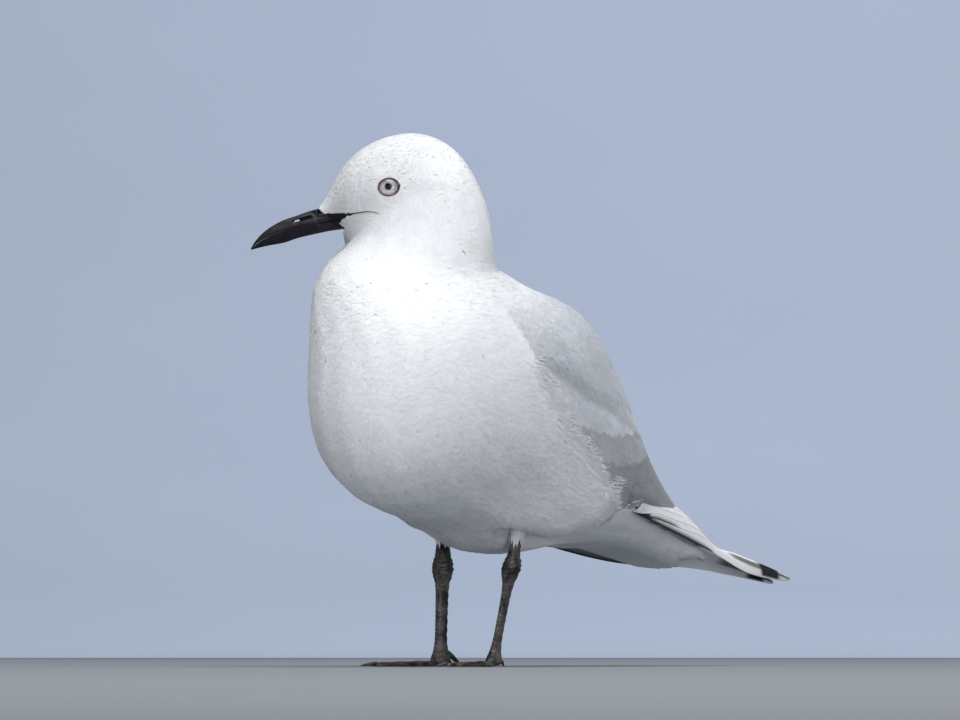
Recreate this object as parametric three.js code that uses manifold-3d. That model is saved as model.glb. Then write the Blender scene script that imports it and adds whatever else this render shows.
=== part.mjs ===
// A standing black-billed gull, life size, as a still museum model.
// Millimetres, +Z up. The bird faces -Y and its left side is +X. The floor is at z = 0.
// The body is one lofted form parted by thin cuts into head, neck, trunk, tail and wings.

import * as THREE from 'three';
import { mergeVertices } from 'three/addons/utils/BufferGeometryUtils.js';
import Module from 'manifold-3d';

const wasm = await Module();
wasm.setup();

// ---------------------------------------------------------------- driving dimensions

const GAP = 0.3;                 // clearance left by every cut between two pieces
const NECK_Y = -33;              // the upright axis of the neck, behind the breast
const HEAD_TURN = 55;            // degrees that the head is turned to the bird's right

const RINGS = 42;                // sections along the body
const RING_SIDES = 20;           // corners of each section
const CORE_RINGS = 18;           // the same for the plainer form under the wings
const CORE_SIDES = 10;
const FAR = 400;                 // farther out than any part of the bird

const EYE_FORWARD = 12.7;        // eye centre ahead of the neck axis
const EYE_HEIGHT = 204.1;
const EYE_RADIUS = 6;
const EYE_OUT = 13.4;            // eye centre from the middle of the head

// The bill in the head's own side view: rows of forward, height.
const CULMEN = [
  [30, 198.6], [43.6, 196.0], [52, 193.3], [59.5, 190.6], [66, 186.6], [70.3, 182.2], [72.3, 178.9],
];
const MOUTH = [
  [22, 193.4], [33, 191.5], [45.6, 189.2], [55.5, 187.4], [62.5, 185.2], [68.8, 181.6], [72.2, 178.7],
];
const GONYS = [
  [24, 188.0], [36, 186.9], [45.6, 185.0], [52.2, 183.4], [58, 181.5], [65.4, 180.1], [71.8, 178.5],
];
const BILL_HALF_WIDTHS = [9.2, 5.8, 4.0, 3.1, 2.5, 1.6, 0.4];
const BILL_RINGS = 12;
const BILL_SIDES = 12;
const BILL_ROUNDNESS = 1.15;     // 1 is an oval section, more is a narrower ridge
const BILL_SIDE = 20;            // farther out than the side of the bill
const NOSTRIL = { from: [47.6, 191.9], to: [53.6, 190.2], half: 0.6 };

// Where the feathers of the face end over the root of the bill (forward, height). The last
// two numbers move each corner when the line is grown into the bill's own space.
const FACE_EDGE = [
  [43.7, 204, -1, 0], [43.7, 193.3, -1, 1], [27.4, 193.3, -2, 1], [34.9, 189.2, -2.4, 0],
  [32.2, 187.2, -1, 1], [31.6, 180, -1, 0], [90, 160, 0, 0], [90, 204, 0, 0],
];

const ANKLE = [17.6, 8.6, 42.5];   // middle of the left ankle
const SHIN_TOP = [19.6, 12.6, 60]; // upper end of the left shin, inside the belly feathers

// Each foot's middle, given for the left side, and the degrees that it is turned outwards.
const LEGS = {
  left: { foot: [10.3, 5.6, 0], turn: 6 },
  right: { foot: [17.6, 5.6, 0], turn: 24 },
};

// The leg from the belly down: height, width across, depth fore and aft.
const LEG_SIZES = [
  [60, 4.6, 6.6], [52, 4.0, 6.4], [48, 4.8, 7.2], [45, 7.0, 8.8], [42, 7.8, 9.4], [39, 6.4, 8.4],
  [35.5, 4.4, 6.4], [30, 3.2, 5.8], [20, 2.8, 5.6], [12, 3.0, 5.6], [7, 3.8, 6.4], [3.6, 4.8, 7.4],
];
const LEG_RINGS = 18;
const LEG_SIDES = 10;
const THIGH_END = 50;            // lowest feathers of the thigh
const THIGH = { height: 14, least: 3.1, flare: 3.2, depth: 1.2, rings: 6, sides: 16 };
const ANKLE_CUT = 37;            // the shin and ankle end here, and the tarsus begins
const FOOT_CUT = 5;              // the tarsus ends here, and the foot begins
const LEG_FOOT = 3.7;            // the leg reaches this far down into the foot

// Each toe: length, degrees from straight ahead towards the inner side, width and height.
const TOES = {
  inner: { length: 24, spread: 29, width: 3.2, height: 2.9 },
  middle: { length: 33, spread: 0, width: 3.4, height: 3.2 },
  outer: { length: 30, spread: -25, width: 3.2, height: 3.0 },
};
const TOE_RINGS = 6;
const TOE_ARC = 4;               // flat facets over the rounded top of a toe
const TOE_TAPER = 0.32;          // share of the width that is lost by the tip
const TOE_JOINT = 0.1;           // share by which a joint swells
const HEEL = { across: 3.1, along: 4.2, ahead: 0.6, draw: 0.55, rings: 3, sides: 10 };
const HIND_TOE = { length: 7.5, start: 1.5, root: 7, width: 2.2, inward: 1.6, rings: 4, sides: 8 };
const WEB = { thickness: 1.0, short: 1.5, hollow: 0.2, steps: 5, root: -2 };
const CLAW = { length: 5, width: 1.7, height: 1.9, taper: 0.85, arch: 0.1, rings: 4, sides: 6 };

const WING_THICKNESS = 7.5;      // folded arm and coverts
const WING_END = 155;            // tips of the longest tertials
const TAIL_ROOT = [[50, 29.8], [160, 86]]; // the cut from below the vent up to the rump

// The folded wing's outline from the side (back, height) and its inner edge from above.
const WING_SIDE = [
  [-12, 162], [-30, 152], [-18, 138.5], [2, 120.5], [24, 100.5], [48, 82.5], [70, 68.5], [86, 65.6],
  [WING_END, 63.5], [WING_END, 90], [110, 140], [40, 186], [4, 176],
];
const WING_MIDDLE = [60, 130];   // the outline grows away from here
const WING_INNER_EDGE = [[15, -40], [13, 0], [8, 35], [0.35, 72], [0.35, 200]];

// Folded flight feathers of the hand: leading edge and upper edge from the wing to the tip.
const HAND = {
  left: {
    lead: [
      [28.5, 82, 67.0], [23.5, 115, 60.6], [16.5, 150.5, 52.7],
      [10, 185, 47.2], [5.5, 212, 43.1], [1.2, 248, 36.9],
    ],
    upper: [
      [20, 84, 80], [12, 118, 76], [3.4, 150.5, 70.2],
      [1.0, 184, 53.6], [0.8, 211, 47.6], [1.0, 248.5, 38.8],
    ],
    camber: [2.6, 3.4, 3.6, 1.2, 0.6, 0.2],
  },
  right: {
    lead: [
      [-29, 82, 59.2], [-24, 114, 50.4], [-17.4, 147, 45.0],
      [-10, 186.5, 41.8], [-5, 220, 37.0], [-1.4, 241, 34.0],
    ],
    upper: [
      [-20, 84, 80], [-12, 118, 76], [-3.4, 150.5, 70.2],
      [-1.0, 184, 52.0], [-0.8, 212, 45.2], [-0.8, 241.5, 35.4],
    ],
    camber: [4.6, 5.4, 4.6, 1.6, 0.8, 0.2],
  },
};
const HAND_THICKNESS = 2.2;
const HAND_RINGS = 14;
const HAND_SIDES = 10;

// Lines across the side of the bird (back, height) that part the head, neck and trunk.
const NECK_TOP = [[-FAR, 184], [FAR, 178]];
const NECK_FOOT = [[-FAR, 148], [0, 164], [FAR, 172]];

// Sections of the body, from the root of the bill to the end of the tail. Each has its front
// or belly point and its back point (forward of the neck axis, height), the half width, how
// full the back half and the belly half are (2 is an ellipse), and the turn in degrees.
const SECTIONS = [
  { front: [33.6, 187.4], back: [43.6, 195.8], half: 3.6, full: [2.0, 2.0], turn: 55 },
  { front: [32.7, 185.0], back: [39.9, 200.2], half: 6.4, full: [2.0, 2.0], turn: 55 },
  { front: [32.3, 183.0], back: [35.9, 209.4], half: 9.6, full: [2.0, 2.1], turn: 55 },
  { front: [32.2, 182.0], back: [28.6, 218.0], half: 12.8, full: [2.1, 2.2], turn: 55 },
  { front: [32.0, 181.4], back: [16.6, 225.0], half: 15.6, full: [2.2, 2.3], turn: 55 },
  { front: [32.0, 180.9], back: [1.8, 227.6], half: 17.4, full: [2.2, 2.3], turn: 55 },
  { front: [32.2, 180.2], back: [-11.8, 223.2], half: 18.8, full: [2.2, 2.3], turn: 55 },
  { front: [32.9, 179.2], back: [-20.8, 213.2], half: 20.8, full: [2.2, 2.2], turn: 55 },
  { front: [34.7, 177.6], back: [-26.7, 200.8], half: 23.2, full: [2.1, 2.2], turn: 54 },
  { front: [37.8, 175.0], back: [-30.1, 189.0], half: 26.0, full: [2.1, 2.2], turn: 51 },
  { front: [41.6, 170.8], back: [-31.4, 179.0], half: 28.8, full: [2.1, 2.2], turn: 44 },
  { front: [45.6, 164.5], back: [-32.8, 171.6], half: 31.6, full: [2.1, 2.2], turn: 32 },
  { front: [49.3, 155.8], back: [-37.9, 169.8], half: 34.8, full: [2.1, 2.2], turn: 18 },
  { front: [52.7, 144.5], back: [-46.5, 167.6], half: 38.4, full: [2.1, 2.2], turn: 6 },
  { front: [55.2, 130.5], back: [-57.4, 165.2], half: 42.4, full: [2.2, 2.1], turn: 0 },
  { front: [55.8, 114.6], back: [-70.4, 162.2], half: 45.2, full: [2.4, 2.1], turn: 0 },
  { front: [53.6, 97.4], back: [-84.6, 157.4], half: 46.8, full: [2.6, 2.1], turn: 0 },
  { front: [46.0, 81.4], back: [-99.2, 148.0], half: 46.7, full: [2.7, 2.1], turn: 0 },
  { front: [29.6, 69.2], back: [-113.4, 134.8], half: 45.2, full: [2.6, 2.0], turn: 0 },
  { front: [7.0, 62.8], back: [-127.0, 120.2], half: 42.6, full: [2.6, 2.0], turn: 0 },
  { front: [-18.0, 53.4], back: [-139.4, 106.4], half: 39.2, full: [2.5, 2.1], turn: 0 },
  { front: [-50.0, 47.2], back: [-151.2, 94.4], half: 35.2, full: [2.3, 2.2], turn: 0 },
  { front: [-82.0, 48.4], back: [-162.6, 84.4], half: 30.4, full: [2.2, 2.1], turn: 0 },
  { front: [-112.0, 49.8], back: [-174.4, 76.6], half: 25.8, full: [2.0, 2.0], turn: 0 },
  { front: [-140.0, 47.2], back: [-185.4, 70.0], half: 21.4, full: [1.8, 2.0], turn: 0 },
  { front: [-168.0, 42.0], back: [-195.4, 62.8], half: 18.2, full: [1.7, 2.0], turn: 0 },
  { front: [-193.0, 41.0], back: [-206.0, 54.0], half: 16.6, full: [1.8, 2.0], turn: 0 },
  { front: [-210.0, 43.6], back: [-213.5, 47.8], half: 14.0, full: [2.0, 2.0], turn: 0 },
];

// ---------------------------------------------------------------- general shape tools

const radians = THREE.MathUtils.degToRad;

// A smooth curve through rows of up to three numbers, read at 0..1.
function curveThrough(rows) {
  const points = rows.map((row) => new THREE.Vector3(row[0], row[1] ?? 0, row[2] ?? 0));
  return new THREE.CatmullRomCurve3(points, false, 'catmullrom', 0.5);
}

// A closed body through rings of points; a fan closes each end at the ring's middle.
function loftGeometry(rings) {
  const sides = rings[0].length;
  const positions = [];
  const index = [];
  for (const ring of rings) {
    for (const point of ring) positions.push(point.x, point.y, point.z);
  }
  for (let row = 0; row + 1 < rings.length; row++) {
    for (let k = 0; k < sides; k++) {
      const a = row * sides + k;
      const b = row * sides + ((k + 1) % sides);
      index.push(a, b, b + sides, a, b + sides, a + sides);
    }
  }
  for (const [row, flip] of [[0, true], [rings.length - 1, false]]) {
    const centre = new THREE.Vector3();
    for (const point of rings[row]) centre.addScaledVector(point, 1 / sides);
    const hub = positions.length / 3;
    positions.push(centre.x, centre.y, centre.z);
    for (let k = 0; k < sides; k++) {
      const a = row * sides + k;
      const b = row * sides + ((k + 1) % sides);
      if (flip) index.push(hub, b, a);
      else index.push(hub, a, b);
    }
  }
  const geometry = new THREE.BufferGeometry();
  geometry.setAttribute('position', new THREE.Float32BufferAttribute(positions, 3));
  geometry.setIndex(index);
  return geometry;
}

// The signed volume tells whether a closed geometry's faces point outwards.
function signedVolume(geometry) {
  const p = geometry.attributes.position;
  const index = geometry.index;
  const [a, b, c] = [new THREE.Vector3(), new THREE.Vector3(), new THREE.Vector3()];
  let sum = 0;
  for (let k = 0; k < index.count; k += 3) {
    a.fromBufferAttribute(p, index.getX(k));
    b.fromBufferAttribute(p, index.getX(k + 1));
    c.fromBufferAttribute(p, index.getX(k + 2));
    sum += a.dot(b.cross(c)) / 6;
  }
  return sum;
}

// A closed geometry as a solid that can be joined and cut.
function solidFrom(source) {
  const bare = source.index ? source.clone() : source;
  bare.deleteAttribute('normal');
  bare.deleteAttribute('uv');
  const geometry = mergeVertices(bare, 1e-4);
  const triangles = Uint32Array.from(geometry.index.array);
  if (signedVolume(geometry) < 0) {
    for (let k = 0; k < triangles.length; k += 3) {
      [triangles[k], triangles[k + 1]] = [triangles[k + 1], triangles[k]];
    }
  }
  const vertProperties = Float32Array.from(geometry.attributes.position.array);
  return new wasm.Manifold(new wasm.Mesh({ numProp: 3, vertProperties, triVerts: triangles }));
}

const loft = (rings) => solidFrom(loftGeometry(rings));

// A flat outline in two named axes, extruded along the third between two planes.
function prism(outline, axis, from, to) {
  const shape = new THREE.Shape(outline.map(([u, v]) => new THREE.Vector2(u, v)));
  const geometry = new THREE.ExtrudeGeometry(shape, { depth: to - from, bevelEnabled: false });
  geometry.translate(0, 0, from);
  const toAxes = new THREE.Matrix4();
  if (axis === 'x') toAxes.set(0, 0, 1, 0, 1, 0, 0, 0, 0, 1, 0, 0, 0, 0, 0, 1);
  if (axis === 'y') toAxes.set(1, 0, 0, 0, 0, 0, 1, 0, 0, 1, 0, 0, 0, 0, 0, 1);
  geometry.applyMatrix4(toAxes);
  return solidFrom(geometry);
}

// The largest of the bodies that a cut left, without the slivers.
function largest(solid) {
  const bodies = solid.decompose();
  bodies.sort((a, b) => b.volume() - a.volume());
  return bodies[0];
}

// ---------------------------------------------------------------- places on the bird

// A point given forward of the neck axis, to the left and up, turned about that axis.
function fromNeck(forward, left, height, turn) {
  const [s, c] = [Math.sin(radians(turn)), Math.cos(radians(turn))];
  return new THREE.Vector3(left * c - forward * s, NECK_Y - forward * c - left * s, height);
}

// A solid made in the head's own frame (x left, y back, z up) turned to where the head looks.
function turnedHead(solid) {
  return solid.rotate([0, 0, -HEAD_TURN]).translate([0, NECK_Y, 0]);
}

const mirrored = (solid) => solid.mirror([1, 0, 0]);

// ---------------------------------------------------------------- the body's outer form

const FRONTS = curveThrough(SECTIONS.map((row) => row.front));
const BACKS = curveThrough(SECTIONS.map((row) => row.back));
const WIDTHS = curveThrough(SECTIONS.map((row) => [row.half, row.turn]));
const FULLNESS = curveThrough(SECTIONS.map((row) => row.full));

// One section: a superellipse between the front and back points, grown outwards by `grow`.
function bodyRing(t, grow, sides) {
  const front = FRONTS.getPoint(t);
  const back = BACKS.getPoint(t);
  const { x: half, y: turn } = WIDTHS.getPoint(t);
  const { x: fullBack, y: fullFront } = FULLNESS.getPoint(t);
  const middle = front.clone().add(back).multiplyScalar(0.5);
  const reach = back.clone().sub(front).multiplyScalar(0.5);
  const halfLength = Math.max(reach.length() + grow, 0.6);
  const halfWidth = Math.max(half + grow, 0.6);
  reach.normalize();
  const ring = [];
  for (let k = 0; k < sides; k++) {
    const angle = (2 * Math.PI * k) / sides;
    const [s, c] = [Math.sin(angle), Math.cos(angle)];
    const power = 2 / (c > 0 ? fullBack : fullFront);
    const along = Math.sign(c) * Math.abs(c) ** power * halfLength;
    const aside = Math.sign(s) * Math.abs(s) ** power * halfWidth;
    const [forward, height] = [middle.x + reach.x * along, middle.y + reach.y * along];
    ring.push(fromNeck(forward, aside, height, turn));
  }
  return ring;
}

function bodyForm(grow, rows = RINGS, sides = RING_SIDES) {
  const rings = [];
  for (let row = 0; row <= rows; row++) rings.push(bodyRing(row / rows, grow, sides));
  return loft(rings);
}

// The form under the wings, `WING_THICKNESS` and a clearance in from the outer one.
const coreForm = (clearance) => bodyForm(-WING_THICKNESS - clearance, CORE_RINGS, CORE_SIDES);

// ---------------------------------------------------------------- assemble

const gull = new THREE.Group();

function addPart(name, solid, colour, roughness = 0.8) {
  const { vertProperties, triVerts } = solid.getMesh();
  const geometry = new THREE.BufferGeometry();
  geometry.setAttribute('position', new THREE.BufferAttribute(vertProperties, 3));
  geometry.setIndex(new THREE.BufferAttribute(triVerts, 1));
  geometry.computeVertexNormals();
  const material = new THREE.MeshStandardMaterial({ color: colour, roughness, metalness: 0 });
  const mesh = new THREE.Mesh(geometry, material);
  mesh.name = name;
  gull.add(mesh);
}

const WHITE = 0xf4f5f7;
const GREY = 0xb9bec8;
const PALE = 0xd8d8d8;
const BLACK = 0x1c1a1c;
const DARK_RED = 0x2a1c1c;

// ---------------------------------------------------------------- bill

// Sections of the bill stand between the culmen and the gonys and are widest at the mouth.
function billForm() {
  const [culmen, mouth, gonys] = [CULMEN, MOUTH, GONYS].map(curveThrough);
  const widths = curveThrough(BILL_HALF_WIDTHS.map((width) => [width]));
  const rings = [];
  for (let row = 0; row <= BILL_RINGS; row++) {
    const t = row / BILL_RINGS;
    const [top, middle, bottom] = [culmen.getPoint(t), mouth.getPoint(t), gonys.getPoint(t)];
    const half = widths.getPoint(t).x;
    const ring = [];
    for (let k = 0; k < BILL_SIDES; k++) {
      const angle = (2 * Math.PI * k) / BILL_SIDES;
      const [aside, up] = [Math.cos(angle), Math.sin(angle)];
      const edge = up > 0 ? top : bottom;
      const rise = Math.abs(up) ** BILL_ROUNDNESS;
      const forward = middle.x + (edge.x - middle.x) * rise;
      const height = middle.y + (edge.y - middle.y) * rise;
      ring.push(new THREE.Vector3(aside * half, -forward, height));
    }
    rings.push(ring);
  }
  return turnedHead(loft(rings));
}

// The region in front of the line where feathers give way to the bill, grown backwards.
function billRegion(grow) {
  const outline = FACE_EDGE.map(([forward, height, moveForward, moveUp]) => (
    [-forward - moveForward * grow, height + moveUp * grow]
  ));
  return turnedHead(prism(outline, 'x', -BILL_SIDE, BILL_SIDE));
}

// A thin curved slab along the mouth line parts the upper bill from the lower.
function mouthCut() {
  const line = curveThrough(MOUTH).getPoints(BILL_RINGS);
  const above = line.map((point) => [-point.x, point.y + GAP / 2]);
  const below = line.map((point) => [-point.x, point.y - GAP / 2]).reverse();
  return turnedHead(prism([...above, ...below], 'x', -BILL_SIDE, BILL_SIDE));
}

// The slit that goes right through the upper bill from side to side.
function nostril() {
  const [[f0, z0], [f1, z1]] = [NOSTRIL.from, NOSTRIL.to];
  const [length, tilt] = [Math.hypot(f1 - f0, z1 - z0), Math.atan2(z1 - z0, f1 - f0)];
  const outline = [];
  for (let k = 0; k < BILL_SIDES; k++) {
    const angle = (2 * Math.PI * k) / BILL_SIDES;
    const [along, up] = [(Math.cos(angle) * length) / 2, Math.sin(angle) * NOSTRIL.half];
    const forward = (f0 + f1) / 2 + along * Math.cos(tilt) - up * Math.sin(tilt);
    const height = (z0 + z1) / 2 + along * Math.sin(tilt) + up * Math.cos(tilt);
    outline.push([-forward, height]);
  }
  return turnedHead(prism(outline, 'x', -BILL_SIDE, BILL_SIDE));
}

// ---------------------------------------------------------------- eyes

function eyeball(side, grow) {
  const geometry = new THREE.SphereGeometry(EYE_RADIUS + grow, 12, 8);
  geometry.rotateZ(Math.PI / 2);
  geometry.translate(side * EYE_OUT, -EYE_FORWARD, EYE_HEIGHT);
  return turnedHead(solidFrom(geometry));
}

// ---------------------------------------------------------------- wings

// The space of a folded wing's arm and coverts, grown all round.
function wingRegion(side, grow) {
  const [middleBack, middleHeight] = WING_MIDDLE;
  const outline = WING_SIDE.map(([back, height]) => {
    const [run, rise] = [back - middleBack, height - middleHeight];
    const stretch = 1 + grow / Math.hypot(run, rise);
    return [middleBack + run * stretch, middleHeight + rise * stretch];
  });
  const inner = WING_INNER_EDGE.map(([aside, back]) => [Math.max(aside - grow, GAP / 6), back]);
  const plan = [...inner, [FAR, FAR], [FAR, -FAR]];
  const solid = prism(outline, 'x', 0, FAR).intersect(prism(plan, 'z', 0, FAR));
  return side > 0 ? solid : mirrored(solid);
}

// A cambered blade between the leading edge and the upper edge, thin at both.
function handBlade({ lead, upper, camber }, side, grow) {
  const [leadLine, upperLine] = [curveThrough(lead), curveThrough(upper)];
  const cambers = curveThrough(camber.map((value) => [value]));
  const rings = [];
  for (let row = 0; row <= HAND_RINGS; row++) {
    const t = row / HAND_RINGS;
    const [low, high] = [leadLine.getPoint(t), upperLine.getPoint(t)];
    const chord = low.clone().sub(high);
    const width = chord.length();
    chord.normalize();
    const forward = leadLine.getTangent(t);
    const beyond = row === 0 ? -grow : row === HAND_RINGS ? grow : 0;
    const outward = forward.clone().cross(chord).normalize();
    if (outward.x * side < 0) outward.negate();
    const height = cambers.getPoint(t).x;
    const half = (HAND_THICKNESS / 2) * (1 - 0.5 * t * t) + grow;
    const ring = [];
    for (let k = 0; k < HAND_SIDES; k++) {
      const angle = (2 * Math.PI * k) / HAND_SIDES;
      const along = (1 - Math.cos(angle)) / 2;
      const slope = Math.atan2(4 * height * (1 - 2 * along), width);
      const [s, c] = [Math.sin(slope), Math.cos(slope)];
      const thick = half * Math.sin(angle);
      const stretch = grow * (2 * along - 1);
      const acrossBlade = width * along + c * stretch - s * thick;
      const outOfBlade = 4 * height * along * (1 - along) + s * stretch + c * thick;
      const point = high.clone().addScaledVector(chord, acrossBlade);
      ring.push(point.addScaledVector(outward, outOfBlade).addScaledVector(forward, beyond));
    }
    rings.push(ring);
  }
  return loft(rings);
}

// ---------------------------------------------------------------- legs and feet

// The middle of a leg at a height: straight from foot to ankle and from ankle to top.
function legLine(leg, height) {
  const [top, ankle, foot] = [SHIN_TOP, ANKLE, leg.foot].map((place) => new THREE.Vector3(...place));
  const [from, to] = height > ankle.z ? [ankle, top] : [foot, ankle];
  return from.clone().lerp(to, (height - from.z) / (to.z - from.z));
}

// A point `across` to the left and `ahead` of a leg's middle, where the foot is turned.
function onFoot(middle, across, ahead, height, turn) {
  const [s, c] = [Math.sin(radians(turn)), Math.cos(radians(turn))];
  return new THREE.Vector3(
    middle.x + across * c + ahead * s,
    middle.y + across * s - ahead * c,
    middle.z + height,
  );
}

// Oval sections down the leg, turned with the foot.
function legForm(leg) {
  const sizes = curveThrough(LEG_SIZES);
  const rings = [];
  for (let row = 0; row <= LEG_RINGS; row++) {
    const { x: height, y: width, z: depth } = sizes.getPoint(row / LEG_RINGS);
    const ring = [];
    for (let k = 0; k < LEG_SIDES; k++) {
      const angle = (2 * Math.PI * k) / LEG_SIDES;
      const [across, ahead] = [(Math.cos(angle) * width) / 2, (Math.sin(angle) * depth) / 2];
      ring.push(onFoot(legLine(leg, height), across, ahead, 0, leg.turn));
    }
    rings.push(ring);
  }
  return loft(rings);
}

function levelSlice(solid, from, to) {
  const square = [[-FAR, -FAR], [FAR, -FAR], [FAR, FAR], [-FAR, FAR]];
  return solid.intersect(prism(square, 'z', from, to));
}

// Short feathers round the top of the bare shin.
function thighForm(leg) {
  const rings = [];
  for (let row = 0; row <= THIGH.rings; row++) {
    const t = row / THIGH.rings;
    const height = THIGH_END + THIGH.height * t;
    const middle = legLine(leg, height);
    const radius = THIGH.least + THIGH.flare * t ** 0.7;
    const ring = [];
    for (let k = 0; k < THIGH.sides; k++) {
      const angle = (2 * Math.PI * k) / THIGH.sides;
      const x = middle.x + Math.cos(angle) * radius;
      const y = middle.y + Math.sin(angle) * radius * THIGH.depth;
      ring.push(new THREE.Vector3(x, y, height));
    }
    rings.push(ring);
  }
  return loft(rings);
}

// A toe is flat underneath and rounded above, with a swelling at each joint.
function toeForm({ length, spread, width, height }, leg) {
  const middle = new THREE.Vector3(...leg.foot);
  const [s, c] = [Math.sin(radians(spread)), Math.cos(radians(spread))];
  const rings = [];
  for (let row = 0; row <= TOE_RINGS; row++) {
    const t = row / TOE_RINGS;
    const joint = 1 + TOE_JOINT * Math.cos(t * TOE_RINGS * Math.PI);
    const size = (1 - TOE_TAPER * t) * joint * (row === TOE_RINGS ? 0.75 : 1);
    const ring = [];
    for (let k = 0; k <= TOE_ARC; k++) {
      const angle = (Math.PI * k) / TOE_ARC;
      const aside = (Math.cos(angle) * width * size) / 2;
      const up = Math.sin(angle) * height * size;
      const [across, ahead] = [aside * c - s * length * t, aside * s + c * length * t];
      ring.push(onFoot(middle, across, ahead, up, leg.turn));
    }
    rings.push(ring);
  }
  return loft(rings);
}

// The web is a thin plate from toe to toe with hollowed front edges.
function webForm(leg) {
  const middle = new THREE.Vector3(...leg.foot);
  const tips = [TOES.inner, TOES.middle, TOES.outer].map(({ length, spread }) => {
    const reach = length - WEB.short;
    return [-Math.sin(radians(spread)) * reach, Math.cos(radians(spread)) * reach];
  });
  const plan = [[0, WEB.root]];
  for (const [from, to] of [[tips[0], tips[1]], [tips[1], tips[2]]]) {
    for (let k = 0; k <= WEB.steps; k++) {
      const t = k / WEB.steps;
      const drawn = 1 - WEB.hollow * Math.sin(Math.PI * t);
      const [across, ahead] = [0, 1].map((n) => (from[n] + (to[n] - from[n]) * t) * drawn);
      plan.push([across, ahead]);
    }
  }
  const outline = plan.map(([across, ahead]) => onFoot(middle, across, ahead, 0, leg.turn));
  return prism(outline.map((point) => [point.x, point.y]), 'z', 0, WEB.thickness);
}

// The rounded root where the toes meet under the tarsus.
function heelForm(leg) {
  const middle = new THREE.Vector3(...leg.foot);
  const rings = [];
  for (let row = 0; row <= HEEL.rings; row++) {
    const t = row / HEEL.rings;
    const size = Math.sqrt(1 - (HEEL.draw * t) ** 2);
    const ring = [];
    for (let k = 0; k < HEEL.sides; k++) {
      const angle = (2 * Math.PI * k) / HEEL.sides;
      const across = Math.cos(angle) * HEEL.across * size;
      const ahead = HEEL.ahead + Math.sin(angle) * HEEL.along * size;
      ring.push(onFoot(middle, across, ahead, FOOT_CUT * t, leg.turn));
    }
    rings.push(ring);
  }
  return loft(rings);
}

// The small hind toe leaves the tarsus above the ground and comes down behind.
function hindToe(leg) {
  const middle = new THREE.Vector3(...leg.foot);
  const rings = [];
  for (let row = 0; row <= HIND_TOE.rings; row++) {
    const t = row / HIND_TOE.rings;
    const half = (HIND_TOE.width / 2) * (1 - 0.35 * t);
    const centreHeight = half + (HIND_TOE.root - half) * (1 - t) ** 1.4;
    const ahead = -HIND_TOE.start - HIND_TOE.length * t;
    const ring = [];
    for (let k = 0; k < HIND_TOE.sides; k++) {
      const angle = (2 * Math.PI * k) / HIND_TOE.sides;
      const across = Math.cos(angle) * half - HIND_TOE.inward * t;
      const height = Math.max(centreHeight + Math.sin(angle) * half, 0);
      ring.push(onFoot(middle, across, ahead, height, leg.turn));
    }
    rings.push(ring);
  }
  return loft(rings);
}

// A claw carries on from its toe's tip, arched and pointed, with its underside on the floor.
function clawForm({ length, spread }, leg) {
  const middle = new THREE.Vector3(...leg.foot);
  const [s, c] = [Math.sin(radians(spread)), Math.cos(radians(spread))];
  const rings = [];
  for (let row = 0; row <= CLAW.rings; row++) {
    const t = row / CLAW.rings;
    const half = (1 - CLAW.taper * t) / 2;
    const reach = length + GAP + CLAW.length * t;
    const ring = [];
    for (let k = 0; k < CLAW.sides; k++) {
      const angle = (2 * Math.PI * k) / CLAW.sides;
      const aside = Math.cos(angle) * half * CLAW.width;
      const rise = half * (1 + Math.sin(angle)) + CLAW.arch * (1 - t);
      const [across, ahead] = [aside * c - s * reach, aside * s + c * reach];
      ring.push(onFoot(middle, across, ahead, rise * CLAW.height, leg.turn));
    }
    rings.push(ring);
  }
  return loft(rings);
}

function footForm(leg, shaft) {
  let foot = levelSlice(shaft, LEG_FOOT, FOOT_CUT).add(webForm(leg)).add(heelForm(leg));
  foot = foot.add(levelSlice(hindToe(leg), 0, FOOT_CUT));
  for (const toe of Object.values(TOES)) foot = foot.add(levelSlice(toeForm(toe, leg), 0, FAR));
  return largest(foot);
}

function addLeg(name, side) {
  const leg = LEGS[name];
  const place = (solid) => (side > 0 ? solid : mirrored(solid));
  const shaft = legForm(leg);
  const thigh = thighForm(leg).subtract(bodyForm(GAP));
  addPart(`thigh_${name}`, place(largest(thigh)), WHITE);
  addPart(`shank_${name}`, place(levelSlice(shaft, ANKLE_CUT + GAP, THIGH_END - GAP)), DARK_RED, 0.5);
  addPart(`tarsus_${name}`, place(levelSlice(shaft, FOOT_CUT + GAP, ANKLE_CUT)), BLACK, 0.5);
  addPart(`foot_${name}`, place(footForm(leg, shaft)), BLACK, 0.5);
  for (const [toe, sizes] of Object.entries(TOES)) {
    addPart(`claw_${toe}_${name}`, place(clawForm(sizes, leg)), BLACK, 0.35);
  }
}

// ---------------------------------------------------------------- the gull

const SIDES = { left: 1, right: -1 };
const wholeBody = bodyForm(0);
const wholeHead = wholeBody.add(billForm());

// The body with the room for the bill, the folded wings and the eyes taken out.
let body = wholeHead.subtract(billRegion(GAP));
for (const [name, side] of Object.entries(SIDES)) {
  body = body.subtract(handBlade(HAND[name], side, 2 * GAP));
  body = body.subtract(wingRegion(side, GAP).subtract(coreForm(GAP)));
  body = body.subtract(eyeball(side, GAP));
}

// The part of a solid within an outline seen from the side.
function sideSlice(solid, outline) {
  return largest(solid.intersect(prism(outline, 'x', -FAR, FAR)));
}

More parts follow.
